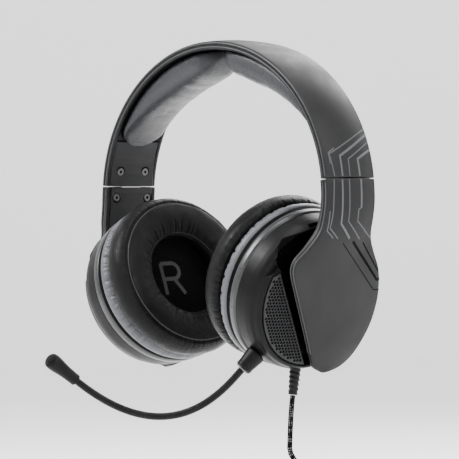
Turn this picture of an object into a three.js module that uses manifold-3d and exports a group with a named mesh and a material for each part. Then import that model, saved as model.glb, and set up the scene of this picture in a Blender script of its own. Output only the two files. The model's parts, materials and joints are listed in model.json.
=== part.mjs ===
// Over-ear gaming headset with a boom microphone and a braided cord.
// Millimetres, +Z up. The wearer faces -Y, and the wearer's left ear is at +X.
// The origin is where the crown of the head meets the cushions, under the middle of the headband.
import * as THREE from 'three';
import { mergeVertices } from 'three/addons/utils/BufferGeometryUtils.js';
import Module from 'manifold-3d';

const wasm = await Module();
wasm.setup();

// ---- Driving dimensions ----
const GAP = 0.35;                 // play left between touching pieces
const FACETS = 36;                // sides of the cup's visible round pieces
const INNER_FACETS = 20;          // sides of the pieces inside the cup

const BAND_HALF_SPAN = 92;        // headband: half of the outer ellipse's width
const BAND_RISE = 85.4;           // half of the outer ellipse's height
const BAND_TOP = 13;              // height of the band's outer edge over the origin
const BAND_CENTRE_Z = BAND_TOP - BAND_RISE;
const BAND_END_Z = -65;           // middle of the seam between the band and an arm
const SEAM = 0.7;                 // width of that seam
const BAND_HALF_WIDTH = 18.3;
const BAND_CROWN = { top: 1.2, end: 3 };   // how much fuller the outer face is in its middle
const BAND_RIM = 4.3;             // thickness of the band's edges
const BAND_FLOOR = 1.5;           // depth of the shell's floor under the outer edge
const LIP = 2;                    // width of the edges beside the inner channel

const SPRING = { halfWidth: 7, outer: -1.9, thickness: 0.8, reach: 52 };
const LINER_INNER = 4.0;          // inner face of the liner, from the outer edge
const COVER_LENGTH = 27;          // end cover, measured up from the seam

const SLIDE_LEAN = THREE.MathUtils.degToRad(5.5);
const STRIP = { halfWidth: 7, thickness: 1, depth: 4.1, up: 24, down: 15 };
const STRIP_WALL = 1.3;           // cover left over the strip

const CUP_TILT = THREE.MathUtils.degToRad(19.3);
const CUP_CENTRE = new THREE.Vector3(51, -5.5, -122);
const REST_SWIVEL = { left: -5, right: 4.5 };   // degrees; positive turns the pad forwards
const PIVOT_X = 20;               // the pivot's place along the cup's axis
const ARM_RIM = 4.8;
const ARM_FLOOR = 1.6;
const ARM_COVER_END = 46;
const YOKE = { start: 48, end: 96, thickness: 1.8 };

const SCREW = { headRadius: 2, headHeight: 0.9, shankRadius: 1.1, shankLength: 3.2 };
const BAND_SCREWS = { along: 9.5, halfSpacing: 9.3 };
const ARM_SCREWS = { along: 6, halfSpacing: 11.7 };

const GOOSENECK_RADIUS = 2;
const LINK_GAP = 0.8;
const CORD_RADIUS = 1.5;
const CORD_SIDES = 8;
const COIL = { mean: 16.5, radial: 5.6, axial: 5.6 };

// ---- Materials ----
function finish(colour, roughness, metalness = 0) {
  return new THREE.MeshStandardMaterial({ color: colour, roughness, metalness });
}
const SHELL = finish(0x55565a, 0.6);
const TRIM = finish(0x77787c, 0.45);
const DARK = finish(0x1c1c1e, 0.45);
const LEATHERETTE = finish(0x232325, 0.6);
const SILVER = finish(0x8d8e96, 0.45);
const STEEL = finish(0x8a8a8c, 0.35, 0.9);
const RUBBER = finish(0x161617, 0.7);
const CLOTH = finish(0x0e0e0f, 0.95);
const BRAID = finish(0x222224, 0.9);
const GOLD = finish(0xc9a14a, 0.3, 1);

// ---- Solid helpers ----
function outward(geometry) {
  const p = geometry.attributes.position;
  const index = geometry.index.array;
  const [a, b, c] = [new THREE.Vector3(), new THREE.Vector3(), new THREE.Vector3()];
  let volume = 0;
  for (let i = 0; i < index.length; i += 3) {
    a.fromBufferAttribute(p, index[i]);
    b.fromBufferAttribute(p, index[i + 1]);
    c.fromBufferAttribute(p, index[i + 2]);
    volume += a.dot(b.cross(c));
  }
  if (volume < 0) {
    for (let i = 0; i < index.length; i += 3) {
      [index[i], index[i + 1]] = [index[i + 1], index[i]];
    }
  }
  return geometry;
}

function clean(geometry) {
  const bare = geometry.index ? geometry.toNonIndexed() : geometry.clone();
  bare.deleteAttribute('normal');
  bare.deleteAttribute('uv');
  return outward(mergeVertices(bare, 1e-4));
}

// A solid skinned over rings of the same number of points. Each ring is a flat outline [a, b],
// and place(i, a, b) puts the points of ring i in space.
function loft(rings, place) {
  const count = rings[0].length;
  const points = [];
  rings.forEach((ring, i) => ring.forEach(([a, b]) => points.push(...place(i, a, b).toArray())));
  const faces = [];
  for (let i = 0; i + 1 < rings.length; i++) {
    for (let j = 0; j < count; j++) {
      const k = (j + 1) % count;
      const [p, q] = [i * count + j, i * count + k];
      faces.push(p, q, p + count, q, q + count, p + count);
    }
  }
  const cap = (ring) => THREE.ShapeUtils.triangulateShape(ring.map(([a, b]) => new THREE.Vector2(a, b)), []);
  const last = (rings.length - 1) * count;
  const flip = THREE.ShapeUtils.isClockWise(rings[0].map(([a, b]) => new THREE.Vector2(a, b)));
  for (const [a, b, c] of cap(rings[0])) {
    faces.push(...(flip ? [a, b, c] : [a, c, b]));
  }
  for (const [a, b, c] of cap(rings[rings.length - 1])) {
    faces.push(...(flip ? [last + a, last + c, last + b] : [last + a, last + b, last + c]));
  }
  const geometry = new THREE.BufferGeometry();
  geometry.setAttribute('position', new THREE.Float32BufferAttribute(points, 3));
  geometry.setIndex(faces);
  return clean(geometry);
}

function solid(geometry) {
  const g = clean(geometry);
  return new wasm.Manifold(new wasm.Mesh({
    numProp: 3,
    vertProperties: new Float32Array(g.attributes.position.array),
    triVerts: new Uint32Array(g.index.array),
  }));
}

function surface(body) {
  const mesh = body.getMesh();
  const geometry = new THREE.BufferGeometry();
  geometry.setAttribute('position', new THREE.BufferAttribute(new Float32Array(mesh.vertProperties), 3));
  geometry.setIndex(new THREE.BufferAttribute(new Uint32Array(mesh.triVerts), 1));
  return geometry;
}

function cut(geometry, ...tools) {
  return surface(tools.reduce((body, tool) => body.subtract(solid(tool)), solid(geometry)));
}

function join(geometry, ...others) {
  return surface(others.reduce((body, other) => body.add(solid(other)), solid(geometry)));
}

// A solid of revolution about +X from an outline of [radius, x] points.
function turned(outline, facets = FACETS) {
  const points = outline.map(([r, x]) => new THREE.Vector2(r, x));
  const onAxis = outline[0][0] === 0 && outline[outline.length - 1][0] === 0;
  if (!onAxis) points.push(points[0].clone());
  return clean(new THREE.LatheGeometry(points, facets).rotateZ(-Math.PI / 2));
}

function rod(radius, length, sides = 12) {
  return new THREE.CylinderGeometry(radius, radius, length, sides);
}

function box(x, y, z, cx = 0, cy = 0, cz = 0) {
  return new THREE.BoxGeometry(x, y, z).translate(cx, cy, cz);
}

function part(name, geometry, material) {
  const mesh = new THREE.Mesh(clean(geometry), material);
  mesh.name = name;
  return mesh;
}

// ---- Headband ----
// A point at an angle from the top of the band, at a height r over its outer edge line.
function bandPoint(angle, r, y) {
  const normal = new THREE.Vector2(Math.sin(angle) / BAND_HALF_SPAN, Math.cos(angle) / BAND_RISE).normalize();
  const x = BAND_HALF_SPAN * Math.sin(angle) + normal.x * r;
  return new THREE.Vector3(x, y, BAND_CENTRE_Z + BAND_RISE * Math.cos(angle) + normal.y * r);
}

function bandAngle(z) {
  return Math.acos((z - BAND_CENTRE_Z) / BAND_RISE);
}
const BAND_END = bandAngle(BAND_END_Z + SEAM / 2);
const COVER_START = bandAngle(BAND_END_Z + COVER_LENGTH);

function range(from, to, count) {
  return Array.from({ length: count + 1 }, (_, i) => from + (to - from) * i / count);
}

function crowned(halfWidth, crown, steps = 6) {
  return range(-1, 1, steps).map((t) => [crown * (1 - t * t), t * halfWidth]);
}

function bandCrown(angle) {
  const t = THREE.MathUtils.smoothstep(Math.abs(angle), 0.35, 1.2);
  return BAND_CROWN.top + (BAND_CROWN.end - BAND_CROWN.top) * t;
}

function bandSweep(section, from, to, steps) {
  const angles = range(from, to, steps);
  return loft(angles.map((a) => section(a)), (i, r, y) => bandPoint(angles[i], r, y));
}

function headbandShell() {
  const w = BAND_HALF_WIDTH;
  const section = (angle) => [...crowned(w, bandCrown(angle)),
    [-BAND_RIM, w], [-BAND_RIM, w - LIP], [-BAND_FLOOR, w - LIP],
    [-BAND_FLOOR, LIP - w], [-BAND_RIM, LIP - w], [-BAND_RIM, -w]];
  const shell = bandSweep(section, -BAND_END, BAND_END, 36);
  const slots = [1, -1].flatMap((side) => [mirrored(stripSlot(), side),
    ...[1, -1].map((y) => mirrored(bandScrewHole(y), side))]);
  return cut(shell, ...slots);
}

function mirrored(geometry, side) {
  return side > 0 ? geometry : clean(geometry).scale(-1, 1, 1);
}

// ---- The slider strip, straight along the arm's slide direction ----
function alongSlide(geometry) {
  const foot = bandPoint(bandAngle(BAND_END_Z), -STRIP.depth, 0);
  return geometry.rotateY(-SLIDE_LEAN).translate(foot.x, 0, foot.z);
}

function stripBlank(grow) {
  const length = STRIP.up + STRIP.down + 2 * grow;
  return alongSlide(box(STRIP.thickness + 2 * grow, 2 * (STRIP.halfWidth + grow), length,
    0, 0, (STRIP.up - STRIP.down) / 2));
}

function stripSlot() {
  return stripBlank(GAP);
}

// ---- Screws: the axis runs from the head to the outer face ----
function bandScrewPlace(side) {
  const angle = bandAngle(BAND_END_Z + BAND_SCREWS.along);
  const seat = bandPoint(angle, -coverDepth(angle) + SCREW.headHeight, side * BAND_SCREWS.halfSpacing);
  const out = bandPoint(angle, 1, 0).sub(bandPoint(angle, 0, 0));
  return { seat, out };
}

function placeAlong(geometry, { seat, out }) {
  const turn = new THREE.Quaternion().setFromUnitVectors(new THREE.Vector3(0, 1, 0), out.clone().normalize());
  return geometry.applyQuaternion(turn).translate(seat.x, seat.y, seat.z);
}

function screw(place) {
  const head = rod(SCREW.headRadius, SCREW.headHeight, 10).translate(0, -SCREW.headHeight / 2, 0);
  const socket = rod(0.9, 0.6, 6).translate(0, -SCREW.headHeight, 0);
  const shank = rod(SCREW.shankRadius, SCREW.shankLength, 6).translate(0, SCREW.shankLength / 2 - 0.1, 0);
  return placeAlong(cut(join(head, shank), socket), place);
}

function screwHole(place) {
  const counterbore = rod(SCREW.headRadius + 0.6, 4, 12).translate(0, -2 + GAP, 0);
  const hole = rod(SCREW.shankRadius + GAP, SCREW.shankLength + 0.4, 8)
    .translate(0, SCREW.shankLength / 2 + 0.1, 0);
  return placeAlong(join(counterbore, hole), place);
}

function bandScrewHole(side) {
  return screwHole(bandScrewPlace(side));
}

// The end cover is thicker at its foot, where the strip runs into the arm.
function coverDepth(angle) {
  const rise = (bandPoint(angle, 0, 0).z - BAND_END_Z) / 22;
  return 4.4 + (STRIP.depth + STRIP.thickness / 2 + STRIP_WALL - 4.4) * Math.max(0, 1 - rise) ** 2;
}

function bandEndCover() {
  const w = BAND_HALF_WIDTH - LIP - GAP;
  const section = (angle) => {
    const inner = -coverDepth(angle);
    return [[-BAND_FLOOR - GAP, -w], [-BAND_FLOOR - GAP, w], [inner + 0.5, w], [inner, w - 0.8],
      [inner, 0.8 - w], [inner + 0.5, -w]];
  };
  const cover = bandSweep(section, COVER_START, BAND_END, 8);
  return cut(cover, stripSlot(), bandScrewHole(1), bandScrewHole(-1));
}

function headbandLiner() {
  const end = COVER_START - 0.012;
  const w = BAND_HALF_WIDTH - LIP - GAP;
  const [groove, back] = [SPRING.halfWidth + GAP, SPRING.outer - SPRING.thickness - GAP];
  const section = [[-BAND_FLOOR - GAP, -w], [-BAND_FLOOR - GAP, -groove], [back, -groove], [back, groove],
    [-BAND_FLOOR - GAP, groove], [-BAND_FLOOR - GAP, w], [-LINER_INNER, w], [-LINER_INNER, -w]];
  return bandSweep(() => section, -end, end, 24);
}

function headbandSpring() {
  const reach = THREE.MathUtils.degToRad(SPRING.reach);
  const inner = SPRING.outer - SPRING.thickness;
  const section = [[SPRING.outer, -SPRING.halfWidth], [SPRING.outer, SPRING.halfWidth],
    [inner, SPRING.halfWidth], [inner, -SPRING.halfWidth]];
  return bandSweep(() => section, -reach, reach, 20);
}

// One lobe of the head cushion: it swells quickly beside the middle and thins out towards its end.
function cushionThickness(t) {
  return 14.6 * Math.min(1, Math.sin(Math.PI * (0.06 + 0.94 * t) ** 0.62)) ** 0.8;
}

function headCushion() {
  const [start, end] = [2.6, 68].map(THREE.MathUtils.degToRad);
  const base = BAND_RIM + GAP;
  const steps = 14;
  const section = (angle) => {
    const t = (angle - start) / (end - start);
    const thick = Math.max(1.6, cushionThickness(t));
    const half = 15.4 - 2.4 * Math.abs(2 * t - 1) ** 4;
    return [[0, -0.93], [0, 0.93], [0.3, 1], [0.62, 0.95], [0.88, 0.72], [1, 0.3],
      [1, -0.3], [0.88, -0.72], [0.62, -0.95], [0.3, -1]].map(([r, y]) => [-base - r * thick, y * half]);
  };
  return bandSweep(section, start, end, steps);
}

// ---- Arm: it leaves the seam along the band's tangent, then bends inwards to lie along the cup ----
const ARM_STEP = 0.25;
const smooth = (t) => THREE.MathUtils.smoothstep(t, 0, 1);

function armLean(s) {
  return -SLIDE_LEAN * (1 - smooth(s / 12)) + CUP_TILT * smooth((s - 11) / 24);
}

function armPoint(s, r, y) {
  const start = bandPoint(bandAngle(BAND_END_Z - SEAM / 2), 0, 0);
  let [x, z] = [start.x, start.z];
  const steps = Math.round(s / ARM_STEP);
  for (let i = 0; i < steps; i++) {
    const lean = armLean((i + 0.5) * s / steps);
    x -= Math.sin(lean) * s / steps;
    z -= Math.cos(lean) * s / steps;
  }
  const lean = armLean(s);
  return new THREE.Vector3(x + Math.cos(lean) * r, y, z - Math.sin(lean) * r);
}

// The arm's front and rear edges, as [distance down the arm, Y].
const FRONT_EDGE = [[0, -18.3], [11, -18.6], [20, -19.8], [29, -21.6], [38, -27.7], [44, -33.4], [48.5, -35],
  [54, -33.4], [64, -27.6], [78, -19.2], [92, -10.9], [102, -5.2], [106.5, -2.2], [109, 3.2]];
const REAR_EDGE = [[0, 18.3], [12, 18], [21, 17], [28, 16.8], [34, 18.6], [42, 23.8], [50, 29.3],
  [60, 32.8], [70, 34.1], [82, 32.8], [93, 28.4], [101, 23], [106, 16.4], [108.3, 9.6], [109, 4.2]];

function edge(points) {
  const curve = new THREE.SplineCurve(points.map(([s, y]) => new THREE.Vector2(s, y)));
  const fine = curve.getPoints(400);
  return (s) => {
    const i = Math.max(1, fine.findIndex((p) => p.x >= s - 1e-9));
    const [a, b] = [fine[i - 1], fine[i]];
    return a.y + (b.y - a.y) * THREE.MathUtils.clamp((s - a.x) / (b.x - a.x), 0, 1);
  };
}
const frontEdge = edge(FRONT_EDGE);
const rearEdge = edge(REAR_EDGE);

const armCrown = (s) => BAND_CROWN.end * (1 - 0.45 * smooth((s - 12) / 30)) * (1 - smooth((s - 92) / 17) * 0.7);
const armRim = (s) => ARM_RIM - 1.3 * smooth((s - 30) / 20);

function armShell() {
  const stations = [...range(0, 96, 26), 99, 101.5, 103.5, 105.2, 106.6, 107.7, 108.4, 108.85];
  const section = (s) => {
    const [front, rear] = [frontEdge(s), rearEdge(s)];
    const [half, middle] = [(rear - front) / 2, (rear + front) / 2];
    const lip = Math.min(LIP + 0.4, half * 0.3);
    const floor = -armRim(s) + (armRim(s) - ARM_FLOOR) * (1 - smooth((s - 96) / 4));
    const top = crowned(half, armCrown(s)).map(([r, y]) => [r, y + middle]);
    const slope = 0.15 * lip;
    return [...top, [-armRim(s), rear], [-armRim(s), rear - lip], [floor, rear - lip - slope],
      [floor, front + lip + slope], [-armRim(s), front + lip], [-armRim(s), front]];
  };
  const shell = loft(stations.map(section), (i, r, y) => armPoint(stations[i], r, y));
  return cut(shell, stripSlot(), armScrewHole(1), armScrewHole(-1));
}

function armCoverDepth(s) {
  const foot = STRIP.depth + STRIP.thickness / 2 + STRIP_WALL;
  return armRim(s) + 0.2 + (foot - ARM_RIM - 0.2) * Math.max(0, 1 - s / 20) ** 2;
}

function insideArm(from, to, steps, depth) {
  const stations = range(from, to, steps);
  const section = (s) => {
    const inset = 1.15 * (LIP + 0.4) + GAP;
    const [front, rear, inner] = [frontEdge(s) + inset, rearEdge(s) - inset, -depth(s)];
    return [[-ARM_FLOOR - GAP, front], [-ARM_FLOOR - GAP, rear], [inner + 0.5, rear], [inner, rear - 0.8],
      [inner, front + 0.8], [inner + 0.5, front]];
  };
  return loft(stations.map(section), (i, r, y) => armPoint(stations[i], r, y));
}

function armInnerCover() {
  const cover = insideArm(0, ARM_COVER_END, 15, armCoverDepth);
  return cut(cover, stripSlot(), armScrewHole(1), armScrewHole(-1));
}

function armScrewPlace(side) {
  const s = ARM_SCREWS.along;
  const seat = armPoint(s, -armCoverDepth(s) + SCREW.headHeight, side * ARM_SCREWS.halfSpacing);
  const out = armPoint(s, 1, 0).sub(armPoint(s, 0, 0));
  return { seat, out };
}

function armScrewHole(side) {
  return screwHole(armScrewPlace(side));
}

// ---- Cup pieces, turned about +X with x = 0 at the seam between the cup and its pad ----
const CUP_RADIUS = 44.4;
const FLOOR_X = 13.5;             // outer face of the cup's floor, under the plate
const CHORD = 18.6;               // the grille's straight edge, from the cup's axis
const CHORD_ANGLE = THREE.MathUtils.degToRad(30.6);

const CUP_OUTLINE = [[0, FLOOR_X - 2], [37.5, FLOOR_X - 2], [40.2, FLOOR_X - 4.5], [41, 5], [43.8, 5],
  [43.2, 9], [42.5, 13.6], [41.4, 17.4], [40.2, 19.2], [38.6, 19.4], [38.2, 18.4], [37.8, FLOOR_X + 1.5],
  [36.5, FLOOR_X], [0, FLOOR_X]];
const CRESCENT_OUTLINE = [[0, FLOOR_X - 1], [41.8, FLOOR_X - 1], [42.5, 13.6], [41.5, 17.8], [40.3, 21.2],
  [39.3, 22.4], [38.3, 22.8], [38, 21.8], [0, 21.8]];

// Everything beyond the chord, in front of and below the plate.
function beyondChord(offset, from, to) {
  const size = 100;
  return box(to - from, size, size, (from + to) / 2, 0, 0).translate(0, -offset - size / 2, 0)
    .rotateX(CHORD_ANGLE);
}

function cupShell(name) {
  const crescent = solid(turned(CRESCENT_OUTLINE)).intersect(solid(beyondChord(CHORD, 0, 40)));
  const notch = box(20, 46, 30, FLOOR_X + 2 + 10, 5.5, 42);
  const post = turned([[0, FLOOR_X - 1], [6, FLOOR_X - 1], [6, PIVOT_X - 4.6], [0, PIVOT_X - 4.6]], 16);
  const ears = [1, -1].map((side) => box(7.4, 2, 6, PIVOT_X - 2.3, side * 5.6, 0));
  const pinHole = rod(1.6, 20, 12).translate(PIVOT_X, 0, 0);
  const bowl = solid(cut(turned(CUP_OUTLINE), notch)).add(crescent);
  const bores = name === 'left' ? [glandBore(), bootBore()] : [];
  return cut(join(surface(bowl), post, ...ears), pinHole, ...bores);
}

function cupRing() {
  return turned([[40.4, 0.3], [CUP_RADIUS - 0.8, 0.3], [CUP_RADIUS, 1.2], [CUP_RADIUS + 0.2, 3],
    [CUP_RADIUS - 0.5, 4.7], [40.4, 4.7]]);
}

function cupGrille() {
  const disc = turned([[0, 22.15], [37.3, 22.15], [37.3, 22.95], [0, 22.95]]);
  return surface(solid(disc).intersect(solid(beyondChord(CHORD + 1, 0, 40))));
}

function baffle() {
  return turned([[21, 0.4], [39.9, 0.4], [39.9, 3], [37, 3], [37, 2.2], [21, 2.2]], INNER_FACETS);
}

function driverFrame() {
  return turned([[0, -0.6], [10, 0.2], [19, -1.6], [24.5, -1.6], [24.5, 0], [20.1, 0], [20.1, 3.2], [12.6, 5],
    [0, 5]], INNER_FACETS);
}

function driverMagnet() {
  return turned([[0, 5.4], [11.5, 5.4], [11.5, 9.2], [10.5, 10], [0, 10]], INNER_FACETS);
}

function speakerCloth() {
  return turned([[0, -8.2], [30, -8.2], [30, -7.5], [0, -7.5]], INNER_FACETS);
}

function padRing() {
  return turned([[31, -0.4], [42, -0.4], [44.4, -1.8], [45.4, -4.6], [44.8, -7.4], [43.4, -8.8], [31, -8.8]]);
}

function earPad() {
  return turned([[27, -9.2], [43.4, -9.2], [45.8, -11.4], [46.8, -15], [46.4, -18.6], [44.6, -21.8],
    [42, -23.6], [38, -25], [30, -25], [26.4, -23.6], [24.4, -21], [24, -17], [24.8, -12.6]]);
}

// ---- Pivot between the arm and the cup: a block that swivels in the yoke and carries the cup ----
const PIN_RADIUS = 1.25;

function pivotBlock() {
  const block = box(5, 8, 8, PIVOT_X, 0, 0);
  const tiltPin = rod(PIN_RADIUS, 16, 12).translate(PIVOT_X, 0, 0);
  const swivelPin = rod(PIN_RADIUS, 16, 12).rotateX(Math.PI / 2).translate(PIVOT_X, 0, 0);
  return join(block, tiltPin, swivelPin);
}

// The yoke lies along the inside of the plate and holds the swivel pin in two lugs.
function yoke() {
  const plate = insideArm(YOKE.start, YOKE.end, 10, () => ARM_FLOOR + GAP + YOKE.thickness);
  const frame = straightFrame();
  const lugs = [1, -1].map((side) => box(8, 6, 2, PIVOT_X + 1.6, 0, side * 6));
  const pinHole = rod(PIN_RADIUS + GAP, 20, 12).rotateX(Math.PI / 2).translate(PIVOT_X, 0, 0);
  return cut(join(plate, ...lugs.map((lug) => lug.applyMatrix4(frame))), pinHole.applyMatrix4(frame));
}

// The arm holds the pivot in the frame of a cup that faces straight sideways. Each cup then rests
// with its own small swivel about that pivot.
function straightFrame() {
  return new THREE.Matrix4().makeRotationY(CUP_TILT).setPosition(CUP_CENTRE);
}

function cupFrame(name) {
  const swivel = new THREE.Matrix4().makeRotationZ(THREE.MathUtils.degToRad(REST_SWIVEL[name]));
  return straightFrame().multiply(new THREE.Matrix4().makeTranslation(PIVOT_X, 0, 0)).multiply(swivel)
    .multiply(new THREE.Matrix4().makeTranslation(-PIVOT_X, 0, 0));
}

function offLeftCup(geometry) {
  return clean(geometry).applyMatrix4(cupFrame('left').invert());
}

function onLeftCup(x, y, z) {
  return new THREE.Vector3(x, y, z).applyMatrix4(cupFrame('left'));
}

// ---- Microphone boom: it leaves the left cup low at the front and curves towards the mouth ----
const BOOT_ROOT = onLeftCup(13, -26.1, -33.6);
const BOOT_TIP = onLeftCup(13, -34.1, -43.1);
const BOOM_TIP = new THREE.Vector3(4.1, -119.2, -169.6);
const HOUSING_LENGTH = 17;

function boomCurve() {
  const out = BOOT_TIP.clone().sub(BOOT_ROOT).normalize();
  const start = BOOT_TIP.clone().addScaledVector(out, LINK_GAP);
  return new THREE.CubicBezierCurve3(start, start.clone().addScaledVector(out, 14),
    BOOM_TIP.clone().add(new THREE.Vector3(23.7, 45.1, -42.5)), BOOM_TIP);
}
const BOOM = boomCurve();
const BOOM_LENGTH = BOOM.getLength();
const LINKS = 4;

function tube(curve, from, to, radius, steps, sides = 8) {
  const rings = [];
  const frames = [];
  const upright = Math.abs(curve.getTangentAt(from).z) > 0.9;
  let side = upright ? new THREE.Vector3(1, 0, 0) : new THREE.Vector3(0, 0, 1);
  for (const t of range(from, to, steps)) {
    const tangent = curve.getTangentAt(t);
    side = side.clone().addScaledVector(tangent, -side.dot(tangent)).normalize();
    frames.push([curve.getPointAt(t), side, tangent.clone().cross(side)]);
    rings.push(range(0, 1, sides).slice(1).map((k) => [radius(t) * Math.cos(2 * Math.PI * k),
      radius(t) * Math.sin(2 * Math.PI * k)]));
  }
  return loft(rings, (i, a, b) => frames[i][0].clone().addScaledVector(frames[i][1], a)
    .addScaledVector(frames[i][2], b));
}

function micBoot() {
  const line = new THREE.LineCurve3(BOOT_ROOT, BOOT_TIP);
  return tube(line, 0, 1, (t) => 5.7 - 1.1 * t, 2, 12);
}

function bootBore() {
  const line = new THREE.LineCurve3(BOOT_ROOT, BOOT_TIP);
  return offLeftCup(tube(line, -0.03, 1, (t) => 5.7 - 1.1 * t + GAP, 2, 12));
}

function boomLink(i) {
  const gap = LINK_GAP / BOOM_LENGTH;
  const from = i / LINKS + (i ? gap / 2 : 0);
  const to = (i + 1) / LINKS - gap / 2;
  return tube(BOOM, from, to, () => GOOSENECK_RADIUS, 5);
}

function micHousing() {
  const way = BOOM.getTangentAt(1);
  const line = new THREE.LineCurve3(BOOM_TIP, BOOM_TIP.clone().addScaledVector(way, HOUSING_LENGTH));
  const widths = [3.1, 3.2, 3.3, 3.5, 3.9, 4.25, 4.4, 4.1];
  return tube(line, 0, 1, (t) => widths[Math.round(t * (widths.length - 1))], widths.length - 1, 12);
}

function micCapsule() {
  const way = BOOM.getTangentAt(1);
  const start = BOOM_TIP.clone().addScaledVector(way, HOUSING_LENGTH + GAP);
  const line = new THREE.LineCurve3(start, start.clone().addScaledVector(way, 2));
  return tube(line, 0, 1, (t) => 3.7 - 2 * t * t, 2, 12);
}

// ---- Cord: it hangs straight down from the left cup, and its spare length is a tied coil ----
const GLAND_TOP = new THREE.Vector3(51.4, -4, -164.5);
const GLAND_TIP = new THREE.Vector3(50.2, -5.4, -181.4);
const CORD_TOP_Z = GLAND_TIP.z - GAP;
const COIL_CENTRE = new THREE.Vector3(48.6, -7.1, -241);

function cordGland() {
  const widths = [3.3, 3.3, 3.2, 3.05, 2.9, 2.7];
  const line = new THREE.LineCurve3(GLAND_TOP, GLAND_TIP);
  return tube(line, 0, 1, (t) => widths[Math.round(t * (widths.length - 1))], widths.length - 1, 12);
}

function glandBore() {
  const line = new THREE.LineCurve3(GLAND_TOP, GLAND_TIP);
  return offLeftCup(tube(line, 0, 1, () => 3.3 + GAP, 1, 12).translate(0, 0, GAP));
}

function along(points, radius) {
  const curve = new THREE.CatmullRomCurve3(points.map((p) => new THREE.Vector3(...p)));
  const section = new THREE.Shape().absarc(0, 0, radius, 0, 2 * Math.PI);
  const steps = Math.max(2, Math.round(curve.getLength() / (5 * radius)));
  return new THREE.ExtrudeGeometry(section, { steps, bevelEnabled: false, extrudePath: curve,
    curveSegments: CORD_SIDES });
}

const CORD_ROUTE = [[50.17, -5.43, CORD_TOP_Z], [49.5, -6.1, -190], [49, -6.6, -200], [48.7, -7, -210],
  [48.6, -7.1, -218]];
const TAIL_ROUTE = [[48.6, -7.1, -264], [48.4, -6.6, -270], [48.2, -6.2, -276], [48.1, -6, -282]];

function cordCoil() {
  const { mean, radial, axial } = COIL;
  const ring = turned([[mean - radial, -axial * 0.7], [mean - radial * 0.7, -axial],
    [mean + radial * 0.7, -axial], [mean + radial, -axial * 0.7], [mean + radial, axial * 0.7],
    [mean + radial * 0.7, axial], [mean - radial * 0.7, axial], [mean - radial, axial * 0.7]], 32);
  return ring.translate(...COIL_CENTRE.toArray());
}

function coilTie() {
  const { mean, radial, axial } = COIL;
  const [t, w] = [1.4, 7];
  const hole = box(2 * (axial + GAP), w + 4, 2 * (radial + GAP) + 0.6);
  const wrap = cut(box(2 * (axial + GAP + t), w, 2 * (radial + GAP + t) + 0.6), hole);
  return wrap.rotateX(Math.PI / 2).translate(COIL_CENTRE.x, COIL_CENTRE.y - mean, COIL_CENTRE.z);
}

function plugBody() {
  const [x, y, z] = TAIL_ROUTE[TAIL_ROUTE.length - 1];
  const line = new THREE.LineCurve3(new THREE.Vector3(x, y, z - GAP), new THREE.Vector3(x, y, z - 30));
  const widths = [2.1, 2.4, 2.7, 3.6, 4, 4, 4, 4, 3.8];
  return tube(line, 0, 1, (t) => widths[Math.round(t * (widths.length - 1))], widths.length - 1, 16);
}

function plugPin() {
  const [x, y, z] = TAIL_ROUTE[TAIL_ROUTE.length - 1];
  const top = z - 30 - GAP;
  const line = new THREE.LineCurve3(new THREE.Vector3(x, y, top), new THREE.Vector3(x, y, top - 14));
  const widths = [1.75, 1.75, 1.75, 1.75, 1.75, 1.75, 1.2, 1.6, 0.8];
  return tube(line, 0, 1, (t) => widths[Math.round(t * (widths.length - 1))], widths.length - 1, 12);
}

// ---- Assembly ----
const headset = new THREE.Group();
headset.add(part('headband_shell', headbandShell(), SHELL));
headset.add(part('headband_liner', headbandLiner(), DARK));
headset.add(part('headband_spring', headbandSpring(), STEEL));

for (const [name, sign] of [['left', 1], ['right', -1]]) {
  const side = new THREE.Group();
  side.scale.set(sign, 1, 1);
  headset.add(side);
  side.add(part(`head_cushion_${name}`, headCushion(), SILVER));
  side.add(part(`band_end_cover_${name}`, bandEndCover(), DARK));
  side.add(part(`arm_shell_${name}`, armShell(), SHELL));
  side.add(part(`arm_inner_cover_${name}`, armInnerCover(), DARK));
  side.add(part(`slider_strip_${name}`, stripBlank(0), STEEL));
  side.add(part(`yoke_${name}`, yoke(), DARK));
  for (const [end, y] of [['front', -1], ['rear', 1]]) {
    side.add(part(`band_screw_${name}_${end}`, screw(bandScrewPlace(y)), STEEL));
    side.add(part(`arm_screw_${name}_${end}`, screw(armScrewPlace(y)), STEEL));
  }

  const cup = new THREE.Group();
  cup.applyMatrix4(cupFrame(name));
  side.add(cup);
  cup.add(part(`pivot_block_${name}`, pivotBlock(), DARK));
  cup.add(part(`cup_shell_${name}`, cupShell(name), SHELL));
  cup.add(part(`cup_ring_${name}`, cupRing(), TRIM));
  cup.add(part(`cup_grille_${name}`, cupGrille(), TRIM));
  cup.add(part(`baffle_${name}`, baffle(), DARK));
  cup.add(part(`driver_frame_${name}`, driverFrame(), DARK));
  cup.add(part(`driver_magnet_${name}`, driverMagnet(), STEEL));
  cup.add(part(`speaker_cloth_${name}`, speakerCloth(), CLOTH));
  cup.add(part(`pad_ring_${name}`, padRing(), SILVER));
  cup.add(part(`ear_pad_${name}`, earPad(), LEATHERETTE));
}

headset.add(part('mic_boot', micBoot(), DARK));
for (let i = 0; i < LINKS; i++) {
  headset.add(part(`gooseneck_${i + 1}`, boomLink(i), DARK));
}
headset.add(part('mic_housing', micHousing(), DARK));
headset.add(part('mic_capsule', micCapsule(), CLOTH));
headset.add(part('cord_gland', cordGland(), RUBBER));
headset.add(part('cord', along(CORD_ROUTE, CORD_RADIUS), BRAID));
headset.add(part('cord_coil', cordCoil(), BRAID));
headset.add(part('coil_tie', coilTie(), RUBBER));
headset.add(part('cord_tail', along(TAIL_ROUTE, CORD_RADIUS), BRAID));
headset.add(part('plug_body', plugBody(), RUBBER));
headset.add(part('plug_pin', plugPin(), GOLD));

export default headset;
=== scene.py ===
# Looks of an over-ear gaming headset: shells, cushions, grilles, microphone and braided cord.
# Shapes are worked out in millimetres and turned into metres as each mesh is made.
import json
import math

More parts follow.
